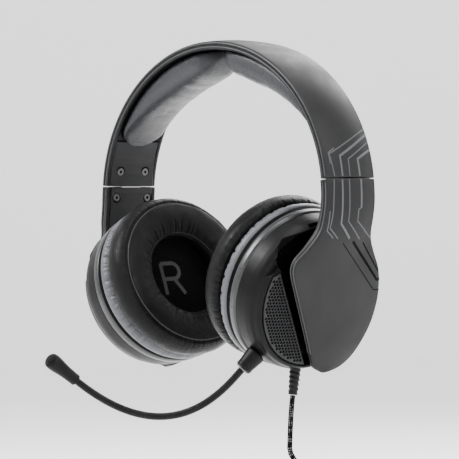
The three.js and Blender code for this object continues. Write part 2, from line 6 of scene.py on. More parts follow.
import bmesh
import bpy
from mathutils import Matrix, Vector, noise
from mathutils.bvhtree import BVHTree
from mathutils.geometry import delaunay_2d_cdt


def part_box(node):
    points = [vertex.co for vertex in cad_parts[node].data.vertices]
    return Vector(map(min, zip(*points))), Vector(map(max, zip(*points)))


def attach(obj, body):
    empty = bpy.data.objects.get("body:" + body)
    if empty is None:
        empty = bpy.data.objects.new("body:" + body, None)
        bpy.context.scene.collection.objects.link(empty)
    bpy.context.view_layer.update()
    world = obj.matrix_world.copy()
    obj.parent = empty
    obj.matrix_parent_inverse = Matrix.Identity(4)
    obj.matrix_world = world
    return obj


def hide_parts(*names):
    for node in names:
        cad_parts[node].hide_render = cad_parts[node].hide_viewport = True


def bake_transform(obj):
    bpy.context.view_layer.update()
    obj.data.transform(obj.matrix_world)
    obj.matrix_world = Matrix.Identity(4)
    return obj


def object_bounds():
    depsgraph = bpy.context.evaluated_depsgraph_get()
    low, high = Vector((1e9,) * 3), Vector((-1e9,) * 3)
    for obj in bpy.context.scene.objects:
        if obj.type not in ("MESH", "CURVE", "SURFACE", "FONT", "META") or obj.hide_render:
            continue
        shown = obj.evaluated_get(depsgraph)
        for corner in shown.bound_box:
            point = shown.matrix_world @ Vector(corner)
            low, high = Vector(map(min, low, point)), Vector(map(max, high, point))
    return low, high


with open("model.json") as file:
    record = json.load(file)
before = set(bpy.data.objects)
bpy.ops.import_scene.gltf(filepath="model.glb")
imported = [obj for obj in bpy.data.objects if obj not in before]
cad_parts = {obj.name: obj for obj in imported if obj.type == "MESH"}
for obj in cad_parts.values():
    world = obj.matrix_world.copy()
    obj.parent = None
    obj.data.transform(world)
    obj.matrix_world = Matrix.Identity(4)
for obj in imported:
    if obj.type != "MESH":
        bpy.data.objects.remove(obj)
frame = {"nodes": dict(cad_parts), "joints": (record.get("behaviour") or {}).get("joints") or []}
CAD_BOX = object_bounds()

MM = 0.001
SIDES = {"left": 1, "right": -1}
JOINTS = {joint["name"]: joint for joint in frame["joints"]}

# ---- Driving dimensions, the frame's own, in millimetres ----
BAND_HALF_SPAN = 92
BAND_RISE = 85.4
BAND_CENTRE_Z = -72.4
BAND_END_Z = -65
SEAM = 0.7
BAND_HALF_WIDTH = 18.3
BAND_RIM = 4.3
BAND_FLOOR = 1.5
LIP = 2
SLIDE_LEAN = math.radians(5.5)
CUP_TILT = math.radians(19.3)
PIVOT_X = 20
ARM_RIM = 4.8
ARM_FLOOR = 1.6
GAP = 0.35
CUP_RADIUS = 44.4
FLOOR_X = 13.5
CHORD = 18.6
CHORD_ANGLE = math.radians(30.6)
CORD_RADIUS = 1.5
ROUND = 128              # sides of the cup's round pieces

# The arm's front and rear edges, as [distance down the arm, Y].
FRONT_EDGE = [(0, -18.3), (11, -18.6), (20, -19.8), (29, -21.6), (38, -27.7), (44, -33.4), (48.5, -35),
              (54, -33.4), (64, -27.6), (78, -19.2), (92, -10.9), (102, -5.2), (106.5, -2.2), (109, 3.2)]
REAR_EDGE = [(0, 18.3), (12, 18), (21, 17), (28, 16.8), (34, 18.6), (42, 23.8), (50, 29.3), (60, 32.8),
             (70, 34.1), (82, 32.8), (93, 28.4), (101, 23), (106, 16.4), (108.3, 9.6), (109, 4.2)]


def steps(start, stop, count):
    return [start + (stop - start) * i / count for i in range(count + 1)]


def smooth(t):
    t = min(1, max(0, t))
    return t * t * (3 - 2 * t)


def catmull(points, per_span=24):
    """Points along a smooth curve through the given ones, of any dimension."""
    line = [Vector(p) for p in points]
    line = [2 * line[0] - line[1], *line, 2 * line[-1] - line[-2]]
    out = []
    for a, b, c, d in zip(line, line[1:], line[2:], line[3:]):
        for t in steps(0, 1, per_span)[:-1]:
            out.append(0.5 * (2 * b + (c - a) * t + (2 * a - 5 * b + 4 * c - d) * t ** 2
                              + (3 * b - a - 3 * c + d) * t ** 3))
    return out + [line[-2]]


# ---- Where things are on the frame ----
def band_point(angle, r, y):
    normal = Vector((math.sin(angle) / BAND_HALF_SPAN, math.cos(angle) / BAND_RISE)).normalized()
    x = BAND_HALF_SPAN * math.sin(angle) + normal.x * r
    return Vector((x, y, BAND_CENTRE_Z + BAND_RISE * math.cos(angle) + normal.y * r))


def band_angle(z):
    return math.acos((z - BAND_CENTRE_Z) / BAND_RISE)


BAND_END = band_angle(BAND_END_Z + SEAM / 2)


def band_crown(angle):
    return 1.2 + 1.8 * smooth((abs(angle) - 0.35) / 0.85)


def band_surface(angle, y, lift=0):
    return band_point(angle, band_crown(angle) * (1 - (y / BAND_HALF_WIDTH) ** 2) + lift, y)


def arm_lean(s):
    return -SLIDE_LEAN * (1 - smooth(s / 12)) + CUP_TILT * smooth((s - 11) / 24)


def arm_path(length=110, step=0.25):
    start = band_point(band_angle(BAND_END_Z - SEAM / 2), 0, 0)
    points = [Vector((start.x, start.z))]
    for i in range(int(length / step)):
        lean = arm_lean((i + 0.5) * step)
        points.append(points[-1] - step * Vector((math.sin(lean), math.cos(lean))))
    return points, step


ARM_PATH = arm_path()


def arm_point(s, r, y):
    points, step = ARM_PATH
    i = min(int(s / step), len(points) - 2)
    at = points[i].lerp(points[i + 1], s / step - i)
    lean = arm_lean(s)
    return Vector((at.x + math.cos(lean) * r, y, at.y - math.sin(lean) * r))


def edge(points):
    fine = catmull(points)

    def at(s):
        for a, b in zip(fine, fine[1:]):
            if b.x >= s:
                return a.y + (b.y - a.y) * min(1, max(0, (s - a.x) / (b.x - a.x)))
        return fine[-1].y
    return at


front_edge = edge(FRONT_EDGE)
rear_edge = edge(REAR_EDGE)


def arm_crown(s):
    return 3 * (1 - 0.45 * smooth((s - 12) / 30)) * (1 - smooth((s - 92) / 17) * 0.7)


def arm_rim(s):
    return ARM_RIM - 1.3 * smooth((s - 30) / 20)


def arm_surface(s, y, lift=0):
    middle = (front_edge(s) + rear_edge(s)) / 2
    half = (rear_edge(s) - front_edge(s)) / 2
    return arm_point(s, arm_crown(s) * (1 - ((y - middle) / half) ** 2) + lift, y)


def cup_matrix(name):
    """The frame of a cup in millimetres, x along its axis away from the head; mirror it for the right."""
    sign = SIDES[name]
    swivel, tilt = JOINTS[f"cup_swivel_{name}"], JOINTS[f"cup_tilt_{name}"]
    up, back = (Vector(j["axis"]) * sign for j in (swivel, tilt))
    pivot = Vector(swivel["pos_m"]) / MM
    for v in (up, back, pivot):
        v.x *= sign
    out = back.cross(up).normalized()
    turn = Matrix((out, back.normalized(), up.normalized())).transposed().to_4x4()
    return Matrix.Translation(pivot - out * PIVOT_X) @ turn


def cup_place(name):
    matrix, sign = cup_matrix(name), SIDES[name]

    def place(p):
        q = matrix @ Vector(p)
        return Vector((q.x * sign, q.y, q.z))
    return place


def side_place(name):
    sign = SIDES[name]
    return lambda p: Vector((p[0] * sign, p[1], p[2]))


# ---- Mesh helpers ----
def make(name, vertices, faces, smooth_angle=35):
    mesh = bpy.data.meshes.new(name)
    mesh.from_pydata([Vector(v) * MM for v in vertices], [], faces)
    bm = bmesh.new()
    bm.from_mesh(mesh)
    bmesh.ops.recalc_face_normals(bm, faces=bm.faces)
    bm.to_mesh(mesh)
    bm.free()
    obj = bpy.data.objects.new(name, mesh)
    bpy.context.scene.collection.objects.link(obj)
    shade(obj, smooth_angle)
    return obj


def shade(obj, angle=35):
    for polygon in obj.data.polygons:
        polygon.use_smooth = True
    obj.data.set_sharp_from_angle(angle=math.radians(angle))


def ready(obj, body, slot, material, *nodes):
    obj.data.materials.clear()
    obj.data.materials.append(material)
    if body:
        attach(obj, body)
    if nodes:
        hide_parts(*nodes)
    return obj


def loft(name, rings, closed=False, angle=35):
    count = len(rings[0])
    vertices = [p for ring in rings for p in ring]
    faces = []
    last = len(rings) if closed else len(rings) - 1
    for i in range(last):
        for j in range(count):
            a, b = i * count, ((i + 1) % len(rings)) * count
            k = (j + 1) % count
            faces.append((a + j, a + k, b + k, b + j))
    if not closed:
        faces.append(tuple(range(count)))
        faces.append(tuple(range((len(rings) - 1) * count, len(rings) * count)))
    return make(name, vertices, faces, angle)


def turned(name, outline, place, sides=ROUND, ripple=None, angle=35):
    """A solid of revolution about the cup's axis from a closed outline of (radius, x) points."""
    rings = []
    for k in range(sides):
        t = 2 * math.pi * k / sides
        ring = []
        for r, x in outline:
            if ripple:
                r, x = ripple(r, x, t)
            ring.append(place((x, r * math.cos(t), r * math.sin(t))))
        rings.append(ring)
    return loft(name, rings, closed=True, angle=angle)


def frames_along(points):
    """A side vector and a second one square to it at each point of a line."""
    tangents = [(points[min(i + 1, len(points) - 1)] - points[max(i - 1, 0)]).normalized()
                for i in range(len(points))]
    first = Vector((1, 0, 0)) if abs(tangents[0].z) > 0.9 else Vector((0, 0, 1))
    out = []
    for tangent in tangents:
        first = (first - tangent * first.dot(tangent)).normalized()
        out.append((first, tangent.cross(first)))
    return out


def tube(name, points, radius, sides=16, place=None, angle=50):
    """A tube along points; radius is a number or a function of the distance along it."""
    rings = []
    along = [0.0]
    for a, b in zip(points, points[1:]):
        along.append(along[-1] + (b - a).length)
    for p, (u, v), d in zip(points, frames_along(points), along):
        r = radius(d) if callable(radius) else radius
        ring = [p + r * (u * math.cos(2 * math.pi * k / sides) + v * math.sin(2 * math.pi * k / sides))
                for k in range(sides)]
        rings.append([place(q) for q in ring] if place else ring)
    obj = loft(name, rings, angle=angle)
    layer = obj.data.uv_layers.new(name="UVMap")
    for polygon in obj.data.polygons:
        ids = [obj.data.loops[i].vertex_index for i in polygon.loop_indices]
        wraps = {i % sides for i in ids} == {0, sides - 1} and len(ids) == 4
        for loop, i in zip(polygon.loop_indices, ids):
            around = (i % sides) / sides
            if wraps and i % sides == 0:
                around = 1.0
            layer.data[loop].uv = (around, along[i // sides] / 10)
    return obj


def apply_modifiers(obj):
    graph = bpy.context.evaluated_depsgraph_get()
    mesh = bpy.data.meshes.new_from_object(obj.evaluated_get(graph))
    obj.modifiers.clear()
    obj.data = mesh
    return obj


def boolean(obj, tool, operation):
    modifier = obj.modifiers.new("cut", "BOOLEAN")
    modifier.object = tool
    modifier.operation = operation
    modifier.solver = "EXACT"
    apply_modifiers(obj)
    bpy.data.objects.remove(tool)
    shade(obj)
    return obj


def bevel(obj, width, segments=3):
    modifier = obj.modifiers.new("round", "BEVEL")
    modifier.width = width * MM
    modifier.segments = segments
    modifier.limit_method = "ANGLE"
    modifier.angle_limit = math.radians(40)
    apply_modifiers(obj)
    shade(obj, 60)
    return obj


def block(name, low, high, place):
    corners = [(x, y, z) for x in (low[0], high[0]) for y in (low[1], high[1]) for z in (low[2], high[2])]
    faces = [(0, 1, 3, 2), (4, 6, 7, 5), (0, 4, 5, 1), (2, 3, 7, 6), (0, 2, 6, 4), (1, 5, 7, 3)]
    return make(name, [place(c) for c in corners], faces)


# ---- Materials ----
def material(name, colour, roughness, metallic=0.0, sheen=0.0, gloss=0.12):
    made = bpy.data.materials.new(name)
    made.use_nodes = True
    shader = made.node_tree.nodes["Principled BSDF"]
    shader.inputs["Base Color"].default_value = (*colour, 1)
    shader.inputs["Roughness"].default_value = roughness
    shader.inputs["Metallic"].default_value = metallic
    shader.inputs["Sheen Weight"].default_value = sheen
    shader.inputs["Specular IOR Level"].default_value = gloss
    return made


class Nodes:
    """Short names for the shader nodes that the materials share."""

    def __init__(self, made):
        self.tree = made.node_tree
        self.shader = self.tree.nodes["Principled BSDF"]
        self.place = self.add("ShaderNodeTexCoord").outputs["Object"]

    def add(self, kind, **values):
        node = self.tree.nodes.new(kind)
        for key, value in values.items():
            setattr(node, key, value)
        return node

    def link(self, a, b):
        self.tree.links.new(a, b)

    def noise(self, scale, detail=4, vector=None):
        node = self.add("ShaderNodeTexNoise")
        node.inputs["Scale"].default_value = scale
        node.inputs["Detail"].default_value = detail
        self.link(vector or self.place, node.inputs["Vector"])
        return node.outputs["Fac"]

    def cells(self, scale, feature="DISTANCE_TO_EDGE"):
        node = self.add("ShaderNodeTexVoronoi", feature=feature)
        node.inputs["Scale"].default_value = scale
        self.link(self.place, node.inputs["Vector"])
        return node.outputs["Distance"]

    def ramp(self, factor, low, high, value_low, value_high):
        node = self.add("ShaderNodeMapRange")
        for key, value in (("From Min", low), ("From Max", high), ("To Min", value_low),
                           ("To Max", value_high)):
            node.inputs[key].default_value = value
        self.link(factor, node.inputs["Value"])
        return node.outputs["Result"]

    def mix(self, factor, a, b):
        node = self.add("ShaderNodeMix", data_type="RGBA")
        self.link(factor, node.inputs[0])
        for socket, value in ((node.inputs[6], a), (node.inputs[7], b)):
            if isinstance(value, tuple):
                socket.default_value = (*value, 1)
            else:
                self.link(value, socket)
        return node.outputs[2]

    def bump(self, height, distance, strength=1.0, under=None):
        node = self.add("ShaderNodeBump")
        node.inputs["Strength"].default_value = strength
        node.inputs["Distance"].default_value = distance
        self.link(height, node.inputs["Height"])
        if under is not None:
            self.link(under, node.inputs["Normal"])
        return node.outputs["Normal"]

    def worn_edges(self, colour, worn):
        pointed = self.add("ShaderNodeNewGeometry").outputs["Pointiness"]
        return self.mix(self.ramp(pointed, 0.51, 0.58, 0, 0.35), colour, worn)


def scaled(colour, factor):
    return tuple(c * factor for c in colour)


def plastic(name, colour, roughness, grain=2600, depth=0.00003, spread=0.12, gloss=0.1):
    """Moulded plastic: fine spark-eroded grain, faint colour drift and lighter worn edges."""
    made = material(name, colour, roughness, gloss=gloss)
    n = Nodes(made)
    drift = n.ramp(n.noise(35, 3), 0.3, 0.7, 0, 1)
    base = n.mix(drift, scaled(colour, 1 - spread), scaled(colour, 1 + spread))
    n.link(n.worn_edges(base, scaled(colour, 1.7)), n.shader.inputs["Base Color"])
    n.link(n.ramp(n.noise(90, 5), 0.3, 0.7, roughness - 0.05, roughness + 0.07), n.shader.inputs["Roughness"])
    n.link(n.bump(n.noise(grain, 2), depth), n.shader.inputs["Normal"])
    return made


def leatherette(name, colour, roughness, cell=1100, depth=0.00012, gloss=0.2, wrinkles=0.00025):
    """Coated fabric: pebbled grain of small cells, finer pores and soft broad creases."""
    made = material(name, colour, roughness, gloss=gloss)
    n = Nodes(made)
    drift = n.ramp(n.noise(60, 4), 0.3, 0.7, 0, 1)
    pebbles = n.ramp(n.cells(cell), 0.0, 0.12, 0, 1)
    base = n.mix(drift, scaled(colour, 0.85), scaled(colour, 1.15))
    base = n.mix(pebbles, scaled(colour, 0.62), base)
    n.link(base, n.shader.inputs["Base Color"])
    n.link(n.ramp(n.noise(240, 4), 0.3, 0.7, roughness - 0.06, roughness + 0.08),
           n.shader.inputs["Roughness"])
    creases = n.bump(n.noise(150, 3), wrinkles, 0.6)
    n.link(n.bump(pebbles, depth, 0.8, creases), n.shader.inputs["Normal"])
    return made


def woven(name, colour, light, scale=900):
    """Thin acoustic cloth: crossed threads with small pores."""
    made = material(name, colour, 0.92, sheen=0.05, gloss=0.03)
    n = Nodes(made)
    weave = n.add("ShaderNodeTexWave", wave_type="BANDS", bands_direction="Z")
    cross = n.add("ShaderNodeTexWave", wave_type="BANDS", bands_direction="Y")
    for node in (weave, cross):
        node.inputs["Scale"].default_value = scale / 6.28
        node.inputs["Distortion"].default_value = 0.6
        n.link(n.place, node.inputs["Vector"])
    both = n.add("ShaderNodeMath", operation="MULTIPLY")
    n.link(weave.outputs["Fac"], both.inputs[0])
    n.link(cross.outputs["Fac"], both.inputs[1])
    n.link(n.mix(both.outputs[0], colour, light), n.shader.inputs["Base Color"])
    n.link(n.bump(both.outputs[0], 0.0002), n.shader.inputs["Normal"])
    return made


def braid(name, dark, fleck):
    """Braided sleeve: two sets of strands crossing at 45 degrees, with lighter flecks."""
    made = material(name, dark, 0.72, gloss=0.05)
    n = Nodes(made)
    uv = n.add("ShaderNodeUVMap", uv_map="UVMap").outputs["UV"]
    apart = n.add("ShaderNodeSeparateXYZ")
    n.link(uv, apart.inputs[0])

    def calc(operation, a, b):
        node = n.add("ShaderNodeMath", operation=operation)
        for socket, value in zip(node.inputs, (a, b)):
            if isinstance(value, (int, float)):
                socket.default_value = value
            else:
                n.link(value, socket)
        return node.outputs[0]

    around = calc("MULTIPLY", apart.outputs[0], 4)
    along = calc("MULTIPLY", apart.outputs[1], 4)
    strands = []
    for turn in ("ADD", "SUBTRACT"):
        phase = calc("MULTIPLY", calc(turn, around, along), 2 * math.pi)
        strands.append(calc("SINE", phase, 0.0))
    over = calc("MULTIPLY", strands[0], strands[1])
    height = n.ramp(calc("ABSOLUTE", over, 0.0), 0, 1, 0, 1)
    flecked = calc("GREATER_THAN", over, 0.42)
    broken = n.ramp(n.noise(420, 2), 0.47, 0.54, 0, 1)
    n.link(n.mix(calc("MULTIPLY", flecked, broken), dark, fleck), n.shader.inputs["Base Color"])
    n.link(n.bump(height, 0.00025), n.shader.inputs["Normal"])
    return made


def metal(name, colour, roughness):
    """Machined or stamped metal with fine brushing."""
    made = material(name, colour, roughness, metallic=1.0)
    n = Nodes(made)
    stretch = n.add("ShaderNodeMapping")
    stretch.inputs["Scale"].default_value = (60, 2200, 60)
    n.link(n.place, stretch.inputs["Vector"])
    streaks = n.noise(1, 3, stretch.outputs["Vector"])
    n.link(n.mix(streaks, scaled(colour, 0.8), scaled(colour, 1.1)), n.shader.inputs["Base Color"])
    n.link(n.ramp(streaks, 0.3, 0.7, roughness - 0.05, roughness + 0.1), n.shader.inputs["Roughness"])
    n.link(n.bump(streaks, 0.00001), n.shader.inputs["Normal"])
    return made


def foam(name, colour):
    made = material(name, colour, 0.95, sheen=0.05, gloss=0.05)
    n = Nodes(made)
    pores = n.cells(1500, "F1")
    n.link(n.mix(n.ramp(pores, 0.1, 0.6, 0, 1), scaled(colour, 0.4), scaled(colour, 1.6)),
           n.shader.inputs["Base Color"])
    n.link(n.bump(pores, 0.0004), n.shader.inputs["Normal"])
    return made


SHELL = plastic("soft_touch_charcoal", (0.0105, 0.0106, 0.0111), 0.5, gloss=0.11)
# Painted edge highlight: a grey lighter and glossier than the shell, for the beads along the edges.
EDGE_HIGHLIGHT = plastic("painted_edge_highlight_grey", (0.028, 0.0285, 0.03), 0.34, gloss=0.25)
CUP = plastic("satin_cup_grey", (0.0046, 0.0046, 0.0049), 0.36, gloss=0.06)
RING = plastic("ring_grey", (0.018, 0.0184, 0.0195), 0.3, gloss=0.3)
INNER = plastic("inner_black", (0.002, 0.002, 0.0021), 0.45)
PANEL = plastic("inner_panel_grey", (0.017, 0.0172, 0.018), 0.55)
GLOSS = plastic("gloss_black", (0.0012, 0.0012, 0.0012), 0.25, depth=0.000005, gloss=0.06)
GRILLE = plastic("grille_grey", (0.0085, 0.0087, 0.0092), 0.4, gloss=0.14)
PAD = leatherette("pad_leatherette", (0.0016, 0.0016, 0.0017), 0.36, cell=1300, gloss=0.085)
SILVER = leatherette("silver_leatherette", (0.056, 0.058, 0.065), 0.36, cell=1500, depth=0.00005, gloss=0.3)
PEARL = leatherette("pearl_leatherette", (0.015, 0.0155, 0.0184), 0.32, cell=1200, depth=0.00006, gloss=0.28)
CLOTH = woven("speaker_cloth", (0.0003, 0.0003, 0.0003), (0.0012, 0.0012, 0.0013), 2600)
PRINT = plastic("printed_grey", (0.035, 0.035, 0.0365), 0.8, depth=0.0001)
STRIPE = plastic("stripe_grey", (0.05, 0.051, 0.0535), 0.4)
# Painted shade: near-black for the arm's grooves, the screws' recesses and sockets and the gap behind the
# cup's bezel, where shade falls.
RECESS_SHADE = plastic("painted_recess_shade_black", (0.0006, 0.0006, 0.0006), 0.6, gloss=0.03)
RUBBER = plastic("black_rubber", (0.0014, 0.0014, 0.0015), 0.42, grain=1800, depth=0.00006, gloss=0.14)
BRAID = braid("braided_sleeve", (0.001, 0.001, 0.001), (0.22, 0.22, 0.22))
STEEL = metal("steel", (0.5, 0.5, 0.51), 0.35)
DARK_STEEL = metal("dark_screw_steel", (0.085, 0.085, 0.088), 0.4)
GOLD = metal("gold_contact", (0.85, 0.6, 0.25), 0.22)
FOAM = foam("microphone_foam", (0.004, 0.004, 0.0042))
THREAD = woven("stitch_thread", (0.05, 0.05, 0.052), (0.1, 0.1, 0.103), 3000)


# ---- Camera ----
def camera():
    """A long lens, 47 degrees round to the wearer's left, a little below the cups' level."""
    azimuth, elevation, roll = (math.radians(a) for a in (47.067, -0.980, -0.990))
    aside, above = -0.00145, -0.01705      # slopes from the band's end to the middle of the picture
    distance = 1.5393
    away = Vector((math.sin(azimuth) * math.cos(elevation), -math.cos(azimuth) * math.cos(elevation),
                   math.sin(elevation)))
    right = Vector((math.cos(azimuth), math.sin(azimuth), 0))
    up = away.cross(right)
    right, up = (math.cos(roll) * right + math.sin(roll) * up,
                 math.cos(roll) * up - math.sin(roll) * right)
    back = (away - aside * right - above * up).normalized()
    right = up.cross(back).normalized()
    up = back.cross(right)
    data = bpy.data.cameras.new("camera")
    data.sensor_width = 36
    data.lens = 216.5
    eye = bpy.data.objects.new("camera", data)
    bpy.context.scene.collection.objects.link(eye)
    turn = Matrix((right, up, back)).transposed().to_4x4()
    eye.matrix_world = Matrix.Translation(Vector((0, 0, BAND_END_Z * MM)) + away * distance) @ turn
    bpy.context.scene.camera = eye


camera()

# ---- Cord: straight down out of its gland, a tied hanging coil, a short tail and the plug ----
GLAND_TOP = Vector((51.4, -4, -164.5))
GLAND_TIP = Vector((50.2, -5.4, -181.4))
COIL_CENTRE = Vector((48.6, -7.1, -241))
COIL_MEAN = 16.5
COIL_COLUMNS = 4
COLUMN_SPACING = 3.0
COLUMN_CROSSING = 0.35   # part of a turn in which the cord passes to the next column
COIL_TURNS = 10 + 132 / 360
COIL_START = math.radians(24)
TURN_PITCH = 3.05
LEAD_BEND = 13.5
CORD_ROUTE = [(50.17, -5.43, -181.75), (49.5, -6.1, -190), (49, -6.6, -200)]
TAIL_ROUTE = [(48.2, -6.4, -276), (48.1, -6, -282)]


def coil_points(per_turn=18):
    """Flat spirals side by side: inwards, across, outwards, across, so both ends are outside."""
    spiral = (COIL_TURNS - (COIL_COLUMNS - 1) * COLUMN_CROSSING) / COIL_COLUMNS
    depth = spiral * TURN_PITCH
    points = []
    for i in range(round(COIL_TURNS * per_turn) + 1):
        turn = i / per_turn
        column = min(int(turn / (spiral + COLUMN_CROSSING)), COIL_COLUMNS - 1)
        within = turn - column * (spiral + COLUMN_CROSSING)
        inward = min(1, within / spiral)
        radius = COIL_MEAN + depth * (0.5 - (inward if column % 2 == 0 else 1 - inward))
        across = column + smooth((within - spiral) / COLUMN_CROSSING)
        x = (across - (COIL_COLUMNS - 1) / 2) * COLUMN_SPACING
        angle = COIL_START + 2 * math.pi * turn
        points.append(COIL_CENTRE + Vector((-x, radius * math.sin(angle), radius * math.cos(angle))))
    return points


def cord_points():
    coil = coil_points()
    outer = (coil[0] - COIL_CENTRE).yz.length
    top = COIL_CENTRE.z + outer * math.cos(COIL_START) + LEAD_BEND * math.cos(COIL_START)
    bend_y = coil[0].y - LEAD_BEND * (1 - math.sin(COIL_START))
    into, out_of = [], []
    for t in steps(0, math.pi / 2 - COIL_START, 5)[:-1]:
        y = bend_y + LEAD_BEND * (1 - math.cos(t))
        drop = LEAD_BEND * math.sin(t)
        share = smooth(t / (math.pi / 2 - COIL_START)) * (coil[0].x - COIL_CENTRE.x)
        into.append(Vector((COIL_CENTRE.x + share, y, top - drop)))
        share = share * (coil[-1].x - COIL_CENTRE.x) / (coil[0].x - COIL_CENTRE.x)
        out_of.insert(0, Vector((COIL_CENTRE.x + share, y, 2 * COIL_CENTRE.z - top + drop)))
    lead = catmull([*CORD_ROUTE, into[0]], 5)[:-1]
    tail = catmull([out_of[-1], *TAIL_ROUTE], 4)[1:]
    return [*lead, *into, *coil, *out_of, *tail]


def make_cord():
    points = cord_points()
    length = sum((b - a).length for a, b in zip(points, points[1:])) * MM
    cord = tube("braided_cord", points, CORD_RADIUS, sides=12)
    ready(cord, "cup_left", "cord_braid", BRAID, "cord", "cord_coil", "cord_tail")

    tie_at = COIL_CENTRE - Vector((0, COIL_MEAN, 0))
    rings = []
    for t in steps(0, 2 * math.pi, 40)[:-1]:
        c, s = math.cos(t), math.sin(t)
        reach = 6.6 / (abs(c) ** 4 + abs(s) ** 4) ** 0.25
        rings.append([tie_at + Vector((c * r, 0, s * r)) + Vector((0, y, 0))
                      for r, y in ((reach, -3.2), (reach + 0.9, -3.5), (reach + 1.1, 0), (reach + 0.9, 3.5),
                                   (reach, 3.2))])
    tie = loft("coil_tie_strap", rings, closed=True)
    ready(tie, "cup_left", "black_rubber", RUBBER, "coil_tie")

    top = Vector(TAIL_ROUTE[-1]) - Vector((0, 0, GAP))
    widths = [(0, 1.75), (0.4, 2.1), (9, 2.3), (10.5, 2.6), (12, 3.7), (13, 4.0), (28.5, 4.0), (29.2, 3.8),
              (29.6, 3.4)]

    def plug_radius(d):
        for (d0, r0), (d1, r1) in zip(widths, widths[1:]):
            if d <= d1 + 1e-6:
                ribs = 0.22 * (1 + math.cos(2 * math.pi * d / 1.6)) if 1 < d < 9 else 0
                grips = 0.12 * (1 + math.cos(2 * math.pi * d / 1.2)) if 15 < d < 25 else 0
                return r0 + (r1 - r0) * (d - d0) / (d1 - d0) - ribs - grips
        return widths[-1][1]
    body = tube("plug_grip", [top - Vector((0, 0, d)) for d in steps(0, 29.6, 148)], plug_radius, 32)
    ready(body, "cup_left", "black_rubber", RUBBER, "plug_body")
    bands = [(0, 1.75), (3.2, 1.75), (3.25, 1.5), (3.6, 1.5), (3.65, 1.75), (6.4, 1.75), (6.45, 1.5),
             (6.8, 1.5), (6.85, 1.75), (9.4, 1.75), (9.8, 1.2), (10.4, 1.2), (11.2, 1.65), (12, 1.6),
             (13.6, 0.9), (14, 0.5)]
    base = top - Vector((0, 0, 30))
    pin = loft("plug_contacts", [[base + Vector((r * math.cos(a), r * math.sin(a), -d))
                                  for a in steps(0, 2 * math.pi, 32)[:-1]] for d, r in bands])
    ready(pin, "cup_left", "contact_metal", GOLD, "plug_pin")


make_cord()


# ---- Headband and arms ----
def rounded_section(half_front, half_rear, rim, crown, floor, lip, count=14):
    """Outer face, rounded shoulders, a seam line round the edge, and the inner channel, as (r, y)."""
    middle, half = (half_rear + half_front) / 2, (half_rear - half_front) / 2
    shoulder = min(1.1, half * 0.3)
    points = []
    for t in steps(-1, 1, count):
        y = middle + t * (half - shoulder)
        points.append((crown * (1 - ((y - middle) / half) ** 2), y))
    edge_height = points[-1][0]
    for sign, order in ((1, 1), (-1, -1)):
        y_edge = half_rear if sign > 0 else half_front
        side = []
        for a in steps(0, math.pi / 2, 4)[1:]:
            side.append((edge_height - shoulder * (1 - math.cos(a)),
                         y_edge - sign * shoulder * (1 - math.sin(a))))
        seam = -0.45 * rim
        side += [(seam + 0.25, y_edge), (seam + 0.18, y_edge - sign * 0.35),
                 (seam - 0.18, y_edge - sign * 0.35),
                 (seam - 0.25, y_edge), (-rim + 0.4, y_edge), (-rim + 0.1, y_edge - sign * 0.1),
                 (-rim, y_edge - sign * 0.4), (-rim, y_edge - sign * (lip - 0.3)),
                 (-rim + 0.3, y_edge - sign * lip), (floor, y_edge - sign * lip * 1.15)]
        if order > 0:
            points += side
        else:
            points += side[::-1]
    return points


def sectioned(name, stations, section, point, place):
    return loft(name, [[place(point(s, r, y)) for r, y in section(s)] for s in stations], angle=28)


def band():
    w = BAND_HALF_WIDTH
    shell = sectioned("headband_casing", steps(-BAND_END, BAND_END, 110),
                      lambda a: rounded_section(-w, w, BAND_RIM, band_crown(a), -BAND_FLOOR, LIP),
                      band_point, lambda p: p)
    ready(shell, "headband", "shell", SHELL, "headband_shell")


def arm(name):
    def section(s):
        front, rear = front_edge(s), rear_edge(s)
        lip = min(LIP + 0.4, (rear - front) * 0.15)
        floor = -arm_rim(s) + (arm_rim(s) - ARM_FLOOR) * (1 - smooth((s - 96) / 4))
        return rounded_section(front, rear, arm_rim(s), arm_crown(s), floor, lip)
    stations = [*steps(0, 100, 100), 101.3, 102.5, 103.6, 104.6, 105.5, 106.3, 107, 107.6, 108.1, 108.5,
                108.8]
    shell = sectioned(f"arm_casing_{name}", stations, section, arm_point, side_place(name))
    ready(shell, f"arm_{name}", "shell", SHELL, f"arm_shell_{name}")


# Beads that paint the light caught on the edges, in the painted highlight grey.
HIGHLIGHT_BEADS = [(0.9, 0.34), (3.1, 0.3)]     # depth below the outer face, radius


def highlight_beads(name):
    """Two fine beads in a lighter, glossier grey paint highlights along each edge of the band and of the
    arm's plate, with a dark seam between them.
    """
    for side, y in (("front", 0.12 - BAND_HALF_WIDTH), ("rear", BAND_HALF_WIDTH - 0.12)):
        for i, (depth, radius) in enumerate(HIGHLIGHT_BEADS):
            line = [band_point(a, -depth, y) for a in steps(0, BAND_END - 0.01, 90)]
            bead = tube(f"band_bead_{name}_{side}_{i + 1}", line, radius, 8, side_place(name))
            ready(bead, "headband", "trim", EDGE_HIGHLIGHT)
    for side, outline, inward in (("front", front_edge, 1), ("rear", rear_edge, -1)):
        for i, (depth, radius) in enumerate(HIGHLIGHT_BEADS):
            line = [arm_point(s, -depth, outline(s) + inward * 0.12) for s in steps(2, 98, 110)]
            bead = tube(f"arm_bead_{name}_{side}_{i + 1}", line, radius, 8, side_place(name))
            ready(bead, f"arm_{name}", "trim", EDGE_HIGHLIGHT)


